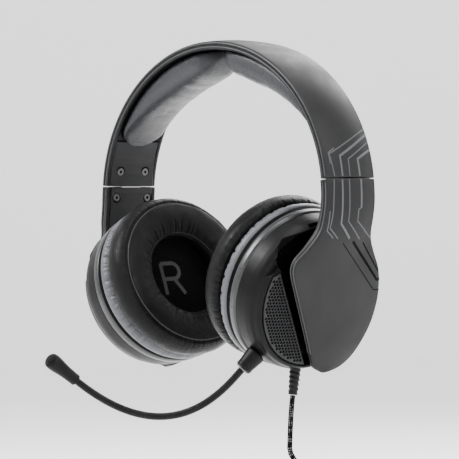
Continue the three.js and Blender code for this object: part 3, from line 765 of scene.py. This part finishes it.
# ---- Pinstripes: thin ribbons on the outer faces ----
ARM_LINES = [(0.6, [(0.2, -13.8), (17, -15), (26, -16.3), (31.5, -9.8)]),
             (0.6, [(17, -16.9), (27.5, -17.8), (31.3, -13.1)]),
             (1.25, [(0.2, -8.5), (23.5, -9.5), (31.5, -1.2)]),
             (0.6, [(0.2, -3.9), (22.3, -4.6), (32, 6.9)]),
             (1.25, [(0.2, 5.1), (15.5, 4.6)]),
             (0.6, [(15.5, 4.0), (16.2, 2.5), (22.1, 2.3), (32.2, 16.7)])]
# Groove lines: near-black ribbons paint the shade inside the grooves.
ARM_GROOVE_SHADES = [(0.5, [(34.1, -5.2), (61.8, 28.0), (61.9, 33.1)]),
               (1.5, [(33.3, 2.2), (56.2, 29.1), (55.6, 31.2)]),
               (0.8, [(34.2, 10.7), (51.1, 28.6)])]
BAND_LINES = [(0.6, [(84.4, -13.2), (76.4, -14.7), (66.5, 17.8)]),
              (1.25, [(84.4, -8.2), (77.3, -8.2), (68.7, 17.8)]),
              (0.6, [(84.4, -3.2), (78.5, -3.0), (71.5, 17.8)]),
              (1.25, [(84.4, 4.4), (78.4, 4.3), (74.6, 17.2)]),
              (0.6, [(79.9, -14.9), (76.0, -15.1), (74.4, -11.0)])]


def ribbon(name, line, width, surface, lift, place):
    """A flat strip on a surface of two coordinates, mitred at its corners."""
    fine = []
    for a, b in zip(line, line[1:]):
        count = max(2, int((Vector(b) - Vector(a)).length / 0.8))
        fine += [Vector(a).lerp(Vector(b), t) for t in steps(0, 1, count)[:-1]]
    fine.append(Vector(line[-1]))
    on = [surface(p.x, p.y, lift) for p in fine]
    rings = []
    for i, p in enumerate(on):
        way = (on[min(i + 1, len(on) - 1)] - on[max(i - 1, 0)]).normalized()
        normal = (surface(fine[i].x, fine[i].y, lift + 1) - p).normalized()
        across = way.cross(normal).normalized() * width / 2
        rings.append([place(q) for q in (p - across, p + across, p + across - 0.12 * normal,
                                         p - across - 0.12 * normal)])
    return loft(name, rings, angle=20)


def stripes(name):
    place = side_place(name)
    for i, (width, line) in enumerate(ARM_LINES):
        strip = ribbon(f"arm_stripe_{name}_{i + 1}", line, width, arm_surface, 0.06, place)
        ready(strip, f"arm_{name}", "trim", STRIPE)
    for i, (width, line) in enumerate(ARM_GROOVE_SHADES):
        strip = ribbon(f"arm_groove_shade_{name}_{i + 1}", line, width, arm_surface, 0.05, place)
        ready(strip, f"arm_{name}", "inner_plastic", RECESS_SHADE)
    for i, (width, line) in enumerate(BAND_LINES):
        strip = ribbon(f"band_stripe_{name}_{i + 1}", line, width,
                       lambda a, y, lift: band_surface(math.radians(a), y, lift), 0.06, place)
        ready(strip, "headband", "trim", STRIPE)


# ---- Screws ----
ARM_SCREW_ALONG = 6
BAND_SCREW_LEAN = math.asin((band_point(band_angle(BAND_END_Z + 9.5), 0, 0)
                             - band_point(band_angle(BAND_END_Z + 9.5), 1, 0)).z)


# A countersunk screw's turned outlines, as radius and depth from its face.
SCREW_LIFT = 0.12
SCREW_HEAD = [(0.0, 0.55), (0.8, 0.5), (0.95, -0.02), (1.5, -0.08), (2.05, 0.0), (2.3, 0.28), (2.3, 0.9),
              (1.1, 0.95), (1.1, 3.9), (0.0, 4.0)]
# The recess ring round the head and the socket in it are near-black pieces that paint the shade in those
# hollows.
SCREW_RECESS_SHADE = [(2.4, 0.1), (3.05, 0.1), (3.15, 0.2), (3.15, 0.8), (2.4, 0.8)]
SCREW_SOCKET_SHADE = [(0.75, -0.03), (0.75, 0.6)]


def screws(name):
    for part, body in (("band", "headband"), ("arm", f"arm_{name}")):
        for end in ("front", "rear"):
            node = f"{part}_screw_{name}_{end}"
            low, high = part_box(node)
            lean = arm_lean(ARM_SCREW_ALONG) if part == "arm" else BAND_SCREW_LEAN
            out = Vector((math.cos(lean) * SIDES[name], 0, -math.sin(lean)))
            centre = (low + high) / 2 / MM
            ends = [(v.co / MM - centre).dot(out) for v in frame["nodes"][node].data.vertices]
            seat = centre + out * (min(ends) - SCREW_LIFT)
            across, along = list(frames_along([seat, seat + out]))[0]

            def spun(outline, count):
                ways = [across * math.cos(t) + along * math.sin(t)
                        for t in steps(0, 2 * math.pi, count)[:-1]]
                return [[seat + out * x + way * max(r, 0.001) for r, x in outline] for way in ways]
            head = loft(f"{part}_screw_head_{name}_{end}", spun(SCREW_HEAD, 32), closed=True)
            ready(head, body, "steel", DARK_STEEL, node)
            recess = loft(f"{part}_screw_recess_{name}_{end}", spun(SCREW_RECESS_SHADE, 32), closed=True)
            ready(recess, body, "inner_plastic", RECESS_SHADE)
            rings = [list(ring) for ring in zip(*spun(SCREW_SOCKET_SHADE, 6))]
            socket = loft(f"{part}_screw_socket_{name}_{end}", rings)
            ready(socket, body, "inner_plastic", RECESS_SHADE)


# ---- Cups ----
def rounded(outline, radius=0.5, count=3):
    """The closed outline with each sharp corner cut by a short arc."""
    out = []
    for a, b, c in zip(outline[-1:] + outline[:-1], outline, outline[1:] + outline[:1]):
        a, b, c = Vector(a), Vector(b), Vector(c)
        r = min(radius, (a - b).length * 0.4, (c - b).length * 0.4)
        p, q = b + (a - b).normalized() * r, b + (c - b).normalized() * r
        out += [tuple(p.lerp(b, t).lerp(b.lerp(q, t), t)) for t in steps(0, 1, count)]
    return out


CUP_OUTLINE = [(0.01, FLOOR_X - 2), (37.5, FLOOR_X - 2), (40.2, FLOOR_X - 4.5), (41, 5), (43.8, 5),
               (43.5, 9), (43.0, 13.6), (42.2, 17), (41.2, 18.9), (39.6, 19.4), (38.9, 18.8),
               (38.4, FLOOR_X + 1.5), (37.5, FLOOR_X), (0.01, FLOOR_X)]
CRESCENT_OUTLINE = [(0.01, FLOOR_X - 1), (41.8, FLOOR_X - 1), (42.5, 13.6), (41.5, 17.8), (40.3, 21.2),
                    (39.3, 22.4), (38.3, 22.8), (38, 21.8), (0.01, 21.8)]


# The pocket beside the arm, as (y, z) on the cup: its far corner and its lower lip are rounded.
POCKET = [(-8, 40.4), (-16, 37.9), (-24, 34.4), (-28.8, 31.4), (-31.6, 28.2), (-32.8, 24.4), (-32.4, 20.2),
          (-30.4, 16.6), (-26.5, 13.4), (-10, 8)]


def pocket_tool(place, low=FLOOR_X + 0.2, high=40):
    outline = [*catmull(POCKET[:-1], 5), Vector(POCKET[-1]), Vector((10, 8)), Vector((10, 41.5))]
    rings = [[place((x, p.x, p.y)) for p in outline] for x in (low, high)]
    return loft("pocket", rings, angle=30)


def chord_point(place, x, u, v):
    """A point by its distances across and along the grille's straight edge."""
    c, s = math.cos(CHORD_ANGLE), math.sin(CHORD_ANGLE)
    return place((x, u * c - v * s, u * s + v * c))


def beyond_chord(name, offset, low, high, place, above=-50):
    """A block over everything beyond the grille's straight edge."""
    return block(name, (low, -offset - 100, above), (high, -offset, 50), lambda p: chord_point(place, *p))


CRESCENT_STEP = 29.6             # along the straight edge, where the crescent drops to the rim
RIM_TOP = 19.3
CASING_TOP = [(38.9, 19.3), (41.2, 18.9), (42.2, 17), (43.0, 13.6), (43.5, 9)]


def pocket_lip(name, place):
    """The rounded edge round the pocket's corner and down to the crescent."""
    points = [chord_point(Vector, x, 0.1 - CHORD, v) for x, v in
              ((22.0, 27.5), (20.9, 29), (RIM_TOP + 0.1, 30.6), (RIM_TOP, 33))]
    for y, z in [(-34.0, 24.6), *POCKET[-6::-1]]:
        radius = math.hypot(y, z)
        for (r0, x0), (r1, x1) in zip(CASING_TOP, CASING_TOP[1:]):
            if r0 <= radius <= r1:
                points.append(Vector((x0 + (x1 - x0) * (radius - r0) / (r1 - r0), y, z)))
    lip = tube(f"cup_pocket_lip_{name}", catmull(points, 8), 0.4, 10, place)
    ready(lip, f"cup_{name}", "cup_body", CUP)


def cup(name):
    place = cup_place(name)
    bowl = turned(f"cup_casing_{name}", rounded(CUP_OUTLINE, 0.7), place)
    notch = block("notch", (FLOOR_X + 2.5, -14.5, 27), (FLOOR_X + 22, 28.5, 57), place)
    boolean(bowl, notch, "DIFFERENCE")
    boolean(bowl, pocket_tool(place), "DIFFERENCE")
    ready(bowl, f"cup_{name}", "cup_body", CUP, f"cup_shell_{name}")
    crescent = turned(f"cup_crescent_{name}", rounded(CRESCENT_OUTLINE, 0.5), place)
    boolean(crescent, beyond_chord("keep", CHORD, 0, 40, place), "INTERSECT")
    boolean(crescent, pocket_tool(place), "DIFFERENCE")
    boolean(crescent, beyond_chord("step", 0, RIM_TOP, 40, place, CRESCENT_STEP), "DIFFERENCE")
    bevel(crescent, 0.5, 2)
    ready(crescent, f"cup_{name}", "cup_body", CUP)
    pocket_lip(name, place)
    floor = turned(f"cup_floor_{name}", rounded([(0.01, FLOOR_X - 0.1), (36.6, FLOOR_X - 0.1),
                                                 (36.6, FLOOR_X + 0.25), (0.01, FLOOR_X + 0.25)], 0.1), place)
    ready(floor, f"cup_{name}", "inner_plastic", GLOSS)
    ring = turned(f"cup_bezel_{name}", rounded([(40.4, 0.9), (CUP_RADIUS - 1.2, 0.9), (CUP_RADIUS, 1.6),
                                                (CUP_RADIUS + 0.3, 3.2), (CUP_RADIUS + 0.1, 5.4),
                                                (CUP_RADIUS - 0.6, 6.4), (42, 6.4),
                                                (40.4, 4.7)], 0.35), place)
    ready(ring, f"cup_{name}", "trim", RING, f"cup_ring_{name}")


HOLE_PITCH = 2.0
HOLE_RADIUS = 0.86
GRILLE_RADIUS = 37.3
GRILLE_TOP = 28.2        # where its upper end is cut square, along its straight edge


def grille(name):
    """The perforated plate: staggered round holes inside a plain border."""
    place = cup_place(name)
    inner, outer = 22.15, 22.95
    offset = CHORD + 1
    half = math.acos(offset / GRILLE_RADIUS)
    top = math.asin(GRILLE_TOP / GRILLE_RADIUS)
    outline = [Vector((GRILLE_RADIUS * math.cos(a), GRILLE_RADIUS * math.sin(a)))
               for a in steps(-top, half, 72)]
    outline.append(Vector((offset, outline[-1].y)))
    outline.append(Vector((offset, -GRILLE_TOP)))
    outline = outline[:-1] + [outline[-2].lerp(outline[-1], t) for t in steps(0, 1, 40)[1:]]

    def in_field(p):
        return p.x > offset + 1.2 and p.length < GRILLE_RADIUS - 1.1 and p.y > 1.2 - GRILLE_TOP
    holes = []
    row_height = HOLE_PITCH * math.sqrt(3) / 2
    for i in range(-1, 30):
        for j in range(-30, 30):
            at = Vector((offset + 1.5 + i * row_height, (j + (i % 2) / 2) * HOLE_PITCH))
            if in_field(at):
                holes.append(at)
    points = list(outline)
    edges = [(i, (i + 1) % len(outline)) for i in range(len(outline))]
    for at in holes:
        first = len(points)
        points += [at + HOLE_RADIUS * Vector((math.cos(a), math.sin(a)))
                   for a in steps(0, 2 * math.pi, 10)[:-1]]
        edges += [(first + k, first + (k + 1) % 10) for k in range(10)]
    flat, _, triangles, *_ = delaunay_2d_cdt(points, edges, [], 0, 1e-5)
    kept = []
    for triangle in triangles:
        centre = sum((flat[i] for i in triangle), Vector((0, 0))) / 3
        row = round((centre.x - offset - 1.5) / row_height)
        in_hole = False
        for i in (row - 1, row, row + 1):
            j = round(centre.y / HOLE_PITCH - (i % 2) / 2)
            at = Vector((offset + 1.5 + i * row_height, (j + (i % 2) / 2) * HOLE_PITCH))
            in_hole = in_hole or (centre - at).length < HOLE_RADIUS and in_field(at)
        if not in_hole:
            kept.append(tuple(triangle))
    c, s = math.cos(CHORD_ANGLE), math.sin(CHORD_ANGLE)
    level = [[place((x, -p.x * c + p.y * s, -p.x * s - p.y * c)) for p in flat] for x in (outer, inner)]
    count = len(flat)
    sides = {}
    for triangle in kept:
        for a, b in zip(triangle, triangle[1:] + triangle[:1]):
            sides[frozenset((a, b))] = None if frozenset((a, b)) in sides else (a, b)
    walls = [(a, b, b + count, a + count) for a, b in (e for e in sides.values() if e)]
    faces = kept + [tuple(i + count for i in reversed(t)) for t in kept] + walls
    plate = make(f"grille_plate_{name}", [*level[0], *level[1]], faces, 30)
    ready(plate, f"cup_{name}", "mesh", GRILLE, f"cup_grille_{name}")
    backing = turned("backing", [(0.01, 21.85), (37.4, 21.85), (37.4, 22.0), (0.01, 22.0)], place)
    backing.name = f"grille_backing_{name}"
    boolean(backing, beyond_chord("keep", offset - 0.2, 0, 40, place), "INTERSECT")
    ready(backing, f"cup_{name}", "speaker_fabric", CLOTH)


# ---- Pads and cushions ----
def inflate(obj, pressure, limit, pinned, levels, frames=20):
    """Blows a soft piece up as cloth, holds each point within limit of its start, and refines it."""
    start = [v.co.copy() for v in obj.data.vertices]
    group = obj.vertex_groups.new(name="pinned")
    group.add([v.index for v in obj.data.vertices if pinned(v.co / MM)], 1.0, "REPLACE")
    cloth = obj.modifiers.new("cloth", "CLOTH")
    cloth.settings.quality = 6
    cloth.settings.use_pressure = True
    cloth.settings.uniform_pressure_force = pressure
    cloth.settings.effector_weights.gravity = 0
    cloth.settings.vertex_group_mass = "pinned"
    cloth.point_cache.frame_start = 1
    cloth.point_cache.frame_end = frames
    scene = bpy.context.scene
    for i in range(1, frames + 1):
        scene.frame_set(i)
    graph = bpy.context.evaluated_depsgraph_get()
    moved = [v.co.copy() for v in obj.evaluated_get(graph).data.vertices]
    obj.modifiers.clear()
    for vertex, a, b in zip(obj.data.vertices, start, moved):
        way = b - a
        if way.length > limit * MM:
            way *= limit * MM / way.length
        vertex.co = a + way
    scene.frame_set(1)
    soften = obj.modifiers.new("soften", "SMOOTH")
    soften.factor = 0.5
    soften.iterations = 2
    apply_modifiers(obj)
    refine = obj.modifiers.new("fine", "SUBSURF")
    refine.levels = refine.render_levels = levels
    apply_modifiers(obj)
    shade(obj, 180)
    return obj


PAD_OUTLINE = [(26, -9.0), (43.0, -9.0), (44.8, -8.8), (45.8, -10.6), (46.4, -13.6), (46.2, -17.2),
               (45.0, -20.6),
               (42.4, -23.8), (38, -24.7), (33, -25), (28.6, -24.7), (25.2, -23.6), (23.1, -21), (22.6, -17),
               (23.6, -12.6)]
PAD_MIDDLE = (34.5, -17)         # radius and depth of the middle of the pad's section
SEWN_EDGE = math.radians(48)     # direction of the outer sewn edge as seen from there
INNER_EDGE = math.radians(-72)
STITCH_ROWS = [(SEWN_EDGE - 0.1, 170), (INNER_EDGE + 0.09, 96)]
THREAD_RADIUS = 0.2


def evenly(outline, spacing):
    """The closed outline as evenly spaced points."""
    corners = [Vector(p) for p in outline] + [Vector(outline[0])]
    lengths = [(b - a).length for a, b in zip(corners, corners[1:])]
    count = round(sum(lengths) / spacing)
    out = []
    for k in range(count):
        along = sum(lengths) * k / count
        for a, b, length in zip(corners, corners[1:], lengths):
            if along <= length:
                out.append(tuple(a.lerp(b, along / length)))
                break
            along -= length
    return out


def crease(turn, count, phase, sway):
    """Narrow irregular valleys, count of them round the cup."""
    return -max(0.0, math.sin(count * turn + phase + 2 * math.sin(sway * turn))) ** 5


def ear_pad(name):
    """A ring-shaped pad with sewn edges: the cover puckers between the stitches."""
    place = cup_place(name)
    matrix, sign = cup_matrix(name), SIDES[name]
    back = matrix.inverted()

    def local(p):
        return back @ Vector((p.x * sign, p.y, p.z))
    pad = turned(f"ear_cushion_{name}", evenly(rounded(PAD_OUTLINE, 1.5), 2.2), place, 104)
    inflate(pad, 3.0, 0.9, lambda p: local(p).x > -10.5, 2)
    for vertex in pad.data.vertices:
        p = local(vertex.co / MM)
        radius, turn = math.hypot(p.y, p.z), math.atan2(p.z, p.y)
        off = Vector((radius - PAD_MIDDLE[0], PAD_MIDDLE[1] - p.x))
        toward = math.atan2(off.x, off.y)
        seam, inner = (toward - SEWN_EDGE) * off.length, (toward - INNER_EDGE) * off.length
        drift = 0.5 + 0.8 * abs(noise.noise(Vector((math.cos(turn), math.sin(turn), 2)) * 1.9))
        puckers = crease(turn, 52, 0, 5) + 0.7 * crease(turn, 83, 2, 3)
        outside = smooth(seam / 0.6) * math.exp(-seam / 2.6) if seam > 0 else 0.25 * math.exp(seam / 2.2)
        gathers = math.exp(-((inner - 3.6) / 2.6) ** 2) * smooth(inner / 1.2)
        behind = math.exp(-((p.x + 10.2) / 1.6) ** 2) if radius > 42 else 0
        depth = -1.0 * math.exp(-(seam / 0.75) ** 2) - 0.7 * math.exp(-(inner / 0.7) ** 2)
        depth += drift * puckers * (0.5 * outside + 0.65 * behind)
        depth += 0.9 * drift * gathers * (crease(turn, 31, 1, 4) + 0.6 * crease(turn, 47, 3, 3))
        depth += 0.22 * noise.noise(p * 0.12)
        way = Vector((-off.y, off.x * math.cos(turn), off.x * math.sin(turn))) / off.length
        q = p + way * depth
        q.x = max(q.x, -26.4)
        vertex.co = place(q) * MM
    pad.data.update()

    surface = BVHTree.FromObject(pad, bpy.context.evaluated_depsgraph_get())
    vertices, faces = [], []
    for toward, turn in [(toward, 2 * math.pi * k / count)
                         for toward, count in STITCH_ROWS for k in range(count)]:
        around = Vector((0, math.cos(turn), math.sin(turn)))
        middle = PAD_MIDDLE[0] * around + Vector((PAD_MIDDLE[1], 0, 0))
        outward = math.sin(toward) * around - Vector((math.cos(toward), 0, 0))
        aim = (place(middle) - place(middle + outward)).normalized()
        hit = surface.ray_cast(place(middle + 16 * outward) * MM, aim)[0] / MM
        tangent = (place(middle + Vector((0, -around.z, around.y))) - place(middle)).normalized()
        across = tangent.cross(aim)
        first = len(vertices)
        for along, size in ((-0.55, 0.25), (-0.35, 1), (0.35, 1), (0.55, 0.25)):
            for b in steps(0, 2 * math.pi, 6)[:-1]:
                vertices.append(hit + tangent * along - aim * 0.08
                                + size * THREAD_RADIUS * (math.cos(b) * across - math.sin(b) * aim))
        for i in range(3):
            for j in range(6):
                p, q = first + i * 6 + j, first + i * 6 + (j + 1) % 6
                faces.append((p, q, q + 6, p + 6))
        faces += [tuple(range(first, first + 6)), tuple(range(first + 18, first + 24))]
    ready(pad, f"cup_{name}", "pad_leather", PAD, f"ear_pad_{name}")
    thread = make(f"ear_pad_stitches_{name}", vertices, faces, 60)
    ready(thread, f"cup_{name}", "pad_leather", THREAD)


def pad_ring(name):
    """The silver cover that joins the pad to its cup, gathered where it meets the pad."""
    def ripple(r, x, t):
        amount = smooth((-x - 3.2) / 4) * smooth((r - 40) / 3)
        return (r + amount * (0.8 * crease(t, 41, 0, 5) + 0.6 * crease(t, 63, 2, 3)), x)
    # Painted shade: a near-black ring between the cup's bezel and the silver collar stands in for the
    # shadowed gap there.
    gap_shade_ring = turned(f"cup_gap_shade_{name}", [(40, -1.3), (44.2, -1.3), (44.2, 1.3), (40, 1.3)], cup_place(name))
    ready(gap_shade_ring, f"cup_{name}", "inner_plastic", RECESS_SHADE)
    outline = rounded([(31, -1.0), (42.6, -1.0), (44.5, -1.5), (45.2, -2.9), (45.3, -4.6), (44.8, -6.4),
                       (43.4, -7.8), (42, -8.6), (31, -8.6)], 0.9, 4)
    ring = turned(f"pad_collar_{name}", outline, cup_place(name), 420, ripple)
    ready(ring, f"cup_{name}", "pad_trim", SILVER, f"pad_ring_{name}")


# Plain upright block capitals for the sides, in one box: every stroke starts from these four edges.
LETTER_LEFT, LETTER_RIGHT, LETTER_FOOT, LETTER_TOP = -6.5, 6.5, -8.5, 10
BOWL_RADIUS = (LETTER_TOP - LETTER_FOOT) / 4
BOWL_X = LETTER_RIGHT - BOWL_RADIUS - 1
BOWL = [(BOWL_X + BOWL_RADIUS * math.sin(a), LETTER_TOP - BOWL_RADIUS + BOWL_RADIUS * math.cos(a))
        for a in steps(0, math.pi, 16)]
STEM = [(LETTER_LEFT, LETTER_TOP), (LETTER_LEFT, LETTER_FOOT)]
LETTERS = {"left": [[*STEM, (LETTER_RIGHT, LETTER_FOOT)]],
           "right": [STEM, [STEM[0], *BOWL, (LETTER_LEFT, BOWL[-1][1])],
                     [BOWL[-1], (LETTER_RIGHT, LETTER_FOOT)]]}


def speaker_cloth(name):
    place = cup_place(name)

    def dome(r):
        return -7.9 - 0.5 * (1 - (r / 30) ** 2)
    outline = [(r, dome(r)) for r in steps(0.01, 30, 12)] + [(30, -7.5), (0.01, -7.5)]
    cloth = turned(f"speaker_screen_{name}", outline, place, 96)
    ready(cloth, f"cup_{name}", "speaker_fabric", CLOTH, f"speaker_cloth_{name}")
    for i, stroke in enumerate(LETTERS[name]):
        line = [Vector((-y * SIDES[name], z)) for y, z in stroke]

        def surface(y, z, lift=0):
            return Vector((dome(math.hypot(y, z)) - lift, y, z))
        mark = ribbon(f"side_mark_{name}_{i + 1}", [tuple(p) for p in line], 2.3, surface, 0.1, place)
        ready(mark, f"cup_{name}", "speaker_fabric", PRINT)


CUSHION_START = math.radians(2.4)
CUSHION_END = math.radians(68)
CUSHION_HALF_WIDTH = 15.6


def cushion_ring(t):
    """One lobe's section: a full crowned bar whose ends are rounded off."""
    thick = 14.8 * min(1, math.sin(math.pi * (0.06 + 0.94 * t) ** 0.62)) ** 0.8
    low_end, high_end = min(1, t / 0.12), min(1, (1 - t) / 0.13)
    close = math.sqrt(max(0.0, 1 - (1 - low_end) ** 2)) * math.sqrt(max(0.0, 1 - (1 - high_end) ** 2))
    thick = max(0.4, thick * close ** 0.7)
    half = max(0.6, CUSHION_HALF_WIDTH * close)
    ring = []
    for a in steps(0, math.pi, 20):
        c, s = math.cos(a), math.sin(a)
        ring.append((-BAND_RIM - GAP - thick * s ** 0.62, half * math.copysign(abs(c) ** 0.55, c)))
    for y in steps(-0.8, 0.8, 6):
        ring.append((-BAND_RIM - GAP, half * y))
    return ring


def head_cushion(name):
    place = side_place(name)
    parts = [0.002, 0.006, 0.015, 0.03, 0.05, *steps(0.08, 0.86, 36), 0.89, 0.92, 0.945, 0.965, 0.98,
             0.99, 0.997]
    rings = []
    for t in parts:
        angle = CUSHION_START + (CUSHION_END - CUSHION_START) * t
        rings.append([place(band_point(angle, r, y)) for r, y in cushion_ring(t)])
    cushion = loft(f"head_pad_{name}", rings, angle=180)

    def on_band(p):
        angle = math.atan2(p.x / BAND_HALF_SPAN, (p.z - BAND_CENTRE_Z) / BAND_RISE)
        return (p - band_point(angle, 0, p.y)).length < BAND_RIM + 1.6
    inflate(cushion, 3.5, 1.0, on_band, 1)
    for vertex in cushion.data.vertices:
        p = vertex.co / MM
        if on_band(p):
            continue
        creases = 0.35 * noise.noise(Vector((p.x * 0.16, p.y * 0.05, p.z * 0.16)))
        creases += 0.12 * noise.noise(p * 0.4)
        angle = math.atan2(p.x / BAND_HALF_SPAN, (p.z - BAND_CENTRE_Z) / BAND_RISE)
        inward = (band_point(angle, -1, p.y) - band_point(angle, 0, p.y)) * creases
        vertex.co = (p + inward) * MM
    cushion.data.update()
    ready(cushion, "headband", "cushion", PEARL, f"head_cushion_{name}")


# ---- Microphone ----
def boom_points(count=240):
    place = cup_place("left")
    root, tip = place((13, -26.1, -33.6)), place((13, -34.1, -43.1))
    out = (tip - root).normalized()
    end = Vector((4.1, -119.2, -169.6))
    a = tip + 0.8 * out
    b, c = a + 14 * out, end + Vector((23.7, 45.1, -42.5))
    points = []
    for t in steps(0, 1, count):
        u = 1 - t
        points.append(u ** 3 * a + 3 * u * u * t * b + 3 * u * t * t * c + t ** 3 * end)
    return root, tip, points


RIB_PITCH = 1.15


def microphone():
    root, tip, points = boom_points()
    along = [0.0]
    for a, b in zip(points, points[1:]):
        along.append(along[-1] + (b - a).length)
    total = along[-1]

    def at(d):
        for i, (d0, d1) in enumerate(zip(along, along[1:])):
            if d <= d1:
                return points[i].lerp(points[i + 1], max(0, (d - d0) / (d1 - d0)))
        return points[-1]
    link = total / 4
    spans = [(0, 1.5), (1.5, 2.5), (2.5, 4)]
    nodes = [("gooseneck_1", "gooseneck_2"), ("gooseneck_3",), ("gooseneck_4",)]
    for k, (first, last) in enumerate(spans):
        start, stop = first * link, last * link
        line = [at(d) for d in steps(start, stop, int((stop - start) / 0.19))]

        def ribbed(d, start=start):
            phase = (start + d) / RIB_PITCH % 1
            return 2.05 - 0.32 * math.exp(-((phase - 0.5) / 0.16) ** 2)
        piece = tube(f"boom_sleeve_{k + 1}", line, ribbed, 20, angle=40)
        bend = at((k + 1) * link)
        way = (at((k + 1) * link + 1) - at((k + 1) * link - 1)).normalized() * 9
        ready(piece, None, "black_rubber", RUBBER, *nodes[k])
        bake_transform(piece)

    out = (tip - root).normalized()
    reach = (tip - root).length

    def boot_radius(d):
        t = d / reach
        top = math.sqrt(max(0.02, 1 - max(0, 1 - d / 2.2) ** 2))
        end = max(0, (d - reach + 0.9) / 0.9)
        collar = 0.18 * smooth((d - reach + 2.6) / 0.3)
        return (5.7 - 1.5 * min(t, 1)) * top + collar - 0.6 * end ** 2
    boot = tube("boom_boot", [root + out * d for d in steps(0, reach, 30)], boot_radius, 40)
    ready(boot, "cup_left", "inner_plastic", INNER, "mic_boot")

    way = (points[-1] - points[-2]).normalized()
    widths = [(0, 2.6), (0.5, 3.1), (3, 3.2), (7, 3.35), (10, 3.65), (12.5, 4.0), (15, 4.3),
              (16.6, 4.3), (17, 4.0)]
    fine = catmull([Vector(w) for w in widths], 6)

    def width(d):
        for a, b in zip(fine, fine[1:]):
            if d <= b.x + 1e-6:
                return a.y + (b.y - a.y) * (d - a.x) / (b.x - a.x)
        return fine[-1].y
    housing = tube("microphone_body", [points[-1] + way * d for d in steps(0, 17, 60)], width, 40)
    ready(housing, "boom_tip", "inner_plastic", INNER, "mic_housing")
    face = points[-1] + way * 17.2
    rim = tube("microphone_foam", [face + way * d for d in (0, 0.4, 0.8, 1.2, 1.6, 2, 2.4, 2.7, 2.9, 3.0)],
               lambda d: 4.15 * math.sqrt(max(0.01, 1 - (d / 3.03) ** 2)), 40, angle=180)
    ready(rim, "boom_tip", "speaker_fabric", FOAM, "mic_capsule")


def gland():
    way = (GLAND_TIP - GLAND_TOP).normalized()
    reach = (GLAND_TIP - GLAND_TOP).length
    rings = []
    sides = 40
    for d in steps(0, reach, 90):
        centre = GLAND_TOP + way * d
        (u, v), = frames_along([centre, centre + way])[:1]
        ring = []
        for a in steps(0, 2 * math.pi, sides)[:-1]:
            rib = 0.35 * smooth(0.5 + 1.6 * math.sin(2 * math.pi * d / 2.6 + a)) if 2 < d < reach - 1 else 0.3
            r = 3.35 - 0.75 * d / reach - 0.35 + rib
            ring.append(centre + r * (u * math.cos(a) + v * math.sin(a)))
        rings.append(ring)
    sleeve = loft("cord_relief", rings, angle=60)
    ready(sleeve, "cup_left", "black_rubber", RUBBER, "cord_gland")


def finish_nodes():
    """Better materials on the frame's own pieces that stay."""
    looks = {"headband_liner": INNER, "headband_spring": STEEL}
    for name in SIDES:
        looks.update({f"band_end_cover_{name}": PANEL, f"arm_inner_cover_{name}": PANEL,
                      f"slider_strip_{name}": STEEL, f"yoke_{name}": INNER, f"pivot_block_{name}": INNER,
                      f"baffle_{name}": INNER, f"driver_frame_{name}": INNER, f"driver_magnet_{name}": STEEL})
    for node, look in looks.items():
        data = frame["nodes"][node].data
        data.materials.clear()
        data.materials.append(look)


band()
for each in SIDES:
    arm(each)
    highlight_beads(each)
    stripes(each)
    screws(each)
    cup(each)
    grille(each)
    ear_pad(each)
    pad_ring(each)
    speaker_cloth(each)
    head_cushion(each)
microphone()
gland()
finish_nodes()


# ---- Studio ----
FLOOR_DROP = 0.03        # below the frame's box, clear of the plug at the sliders' full reach


def studio():
    floor_z = CAD_BOX[0][2] - FLOOR_DROP
    profile = [(0.0, 0), (3.3, 0), (3.9, 0.06), (4.3, 0.3), (4.6, 0.8), (4.7, 1.5), (4.7, 3.0)]
    fine = catmull([Vector(p) for p in profile], 6)
    count = 96
    vertices = [Vector((p.x * math.cos(a), p.x * math.sin(a), floor_z + p.y)) / MM
                for p in fine[1:] for a in steps(0, 2 * math.pi, count)[:-1]]
    faces = [tuple(range(count))]
    for i in range(len(fine) - 2):
        for j in range(count):
            k = (j + 1) % count
            faces.append((i * count + j, i * count + k, (i + 1) * count + k, (i + 1) * count + j))
    sweep = make("studio_sweep", vertices, faces)
    shade(sweep, 180)
    paper = material("studio_paper", (0.86, 0.86, 0.86), 0.9)
    n = Nodes(paper)
    n.link(n.mix(n.noise(3, 2), (0.89, 0.89, 0.89), (0.91, 0.91, 0.91)), n.shader.inputs["Base Color"])
    n.shader.inputs["Emission Color"].default_value = (1, 1, 1, 1)
    n.shader.inputs["Emission Strength"].default_value = 0.35
    sweep.data.materials.append(paper)

    world = bpy.data.worlds.new("studio")
    world.use_nodes = True
    world.node_tree.nodes["Background"].inputs["Color"].default_value = (1, 1, 1, 1)
    world.node_tree.nodes["Background"].inputs["Strength"].default_value = 0.8
    bpy.context.scene.world = world

    target = Vector((0, 0, -0.1))
    lights = [("key", (-0.9, -1.3, 1.3), 0.8, 95), ("side", (1.5, 0.2, 0.9), 0.6, 32),
              ("rim", (-0.6, 1.5, 1.0), 1.2, 45), ("top", (0.2, -0.1, 1.9), 1.0, 45)]
    for name, place, size, power in lights:
        data = bpy.data.lights.new(name, "AREA")
        data.shape = "DISK"
        data.size = size
        data.energy = power
        lamp = bpy.data.objects.new(name, data)
        lamp.location = place
        lamp.rotation_euler = (target - Vector(place)).to_track_quat("-Z", "Y").to_euler()
        bpy.context.scene.collection.objects.link(lamp)


studio()
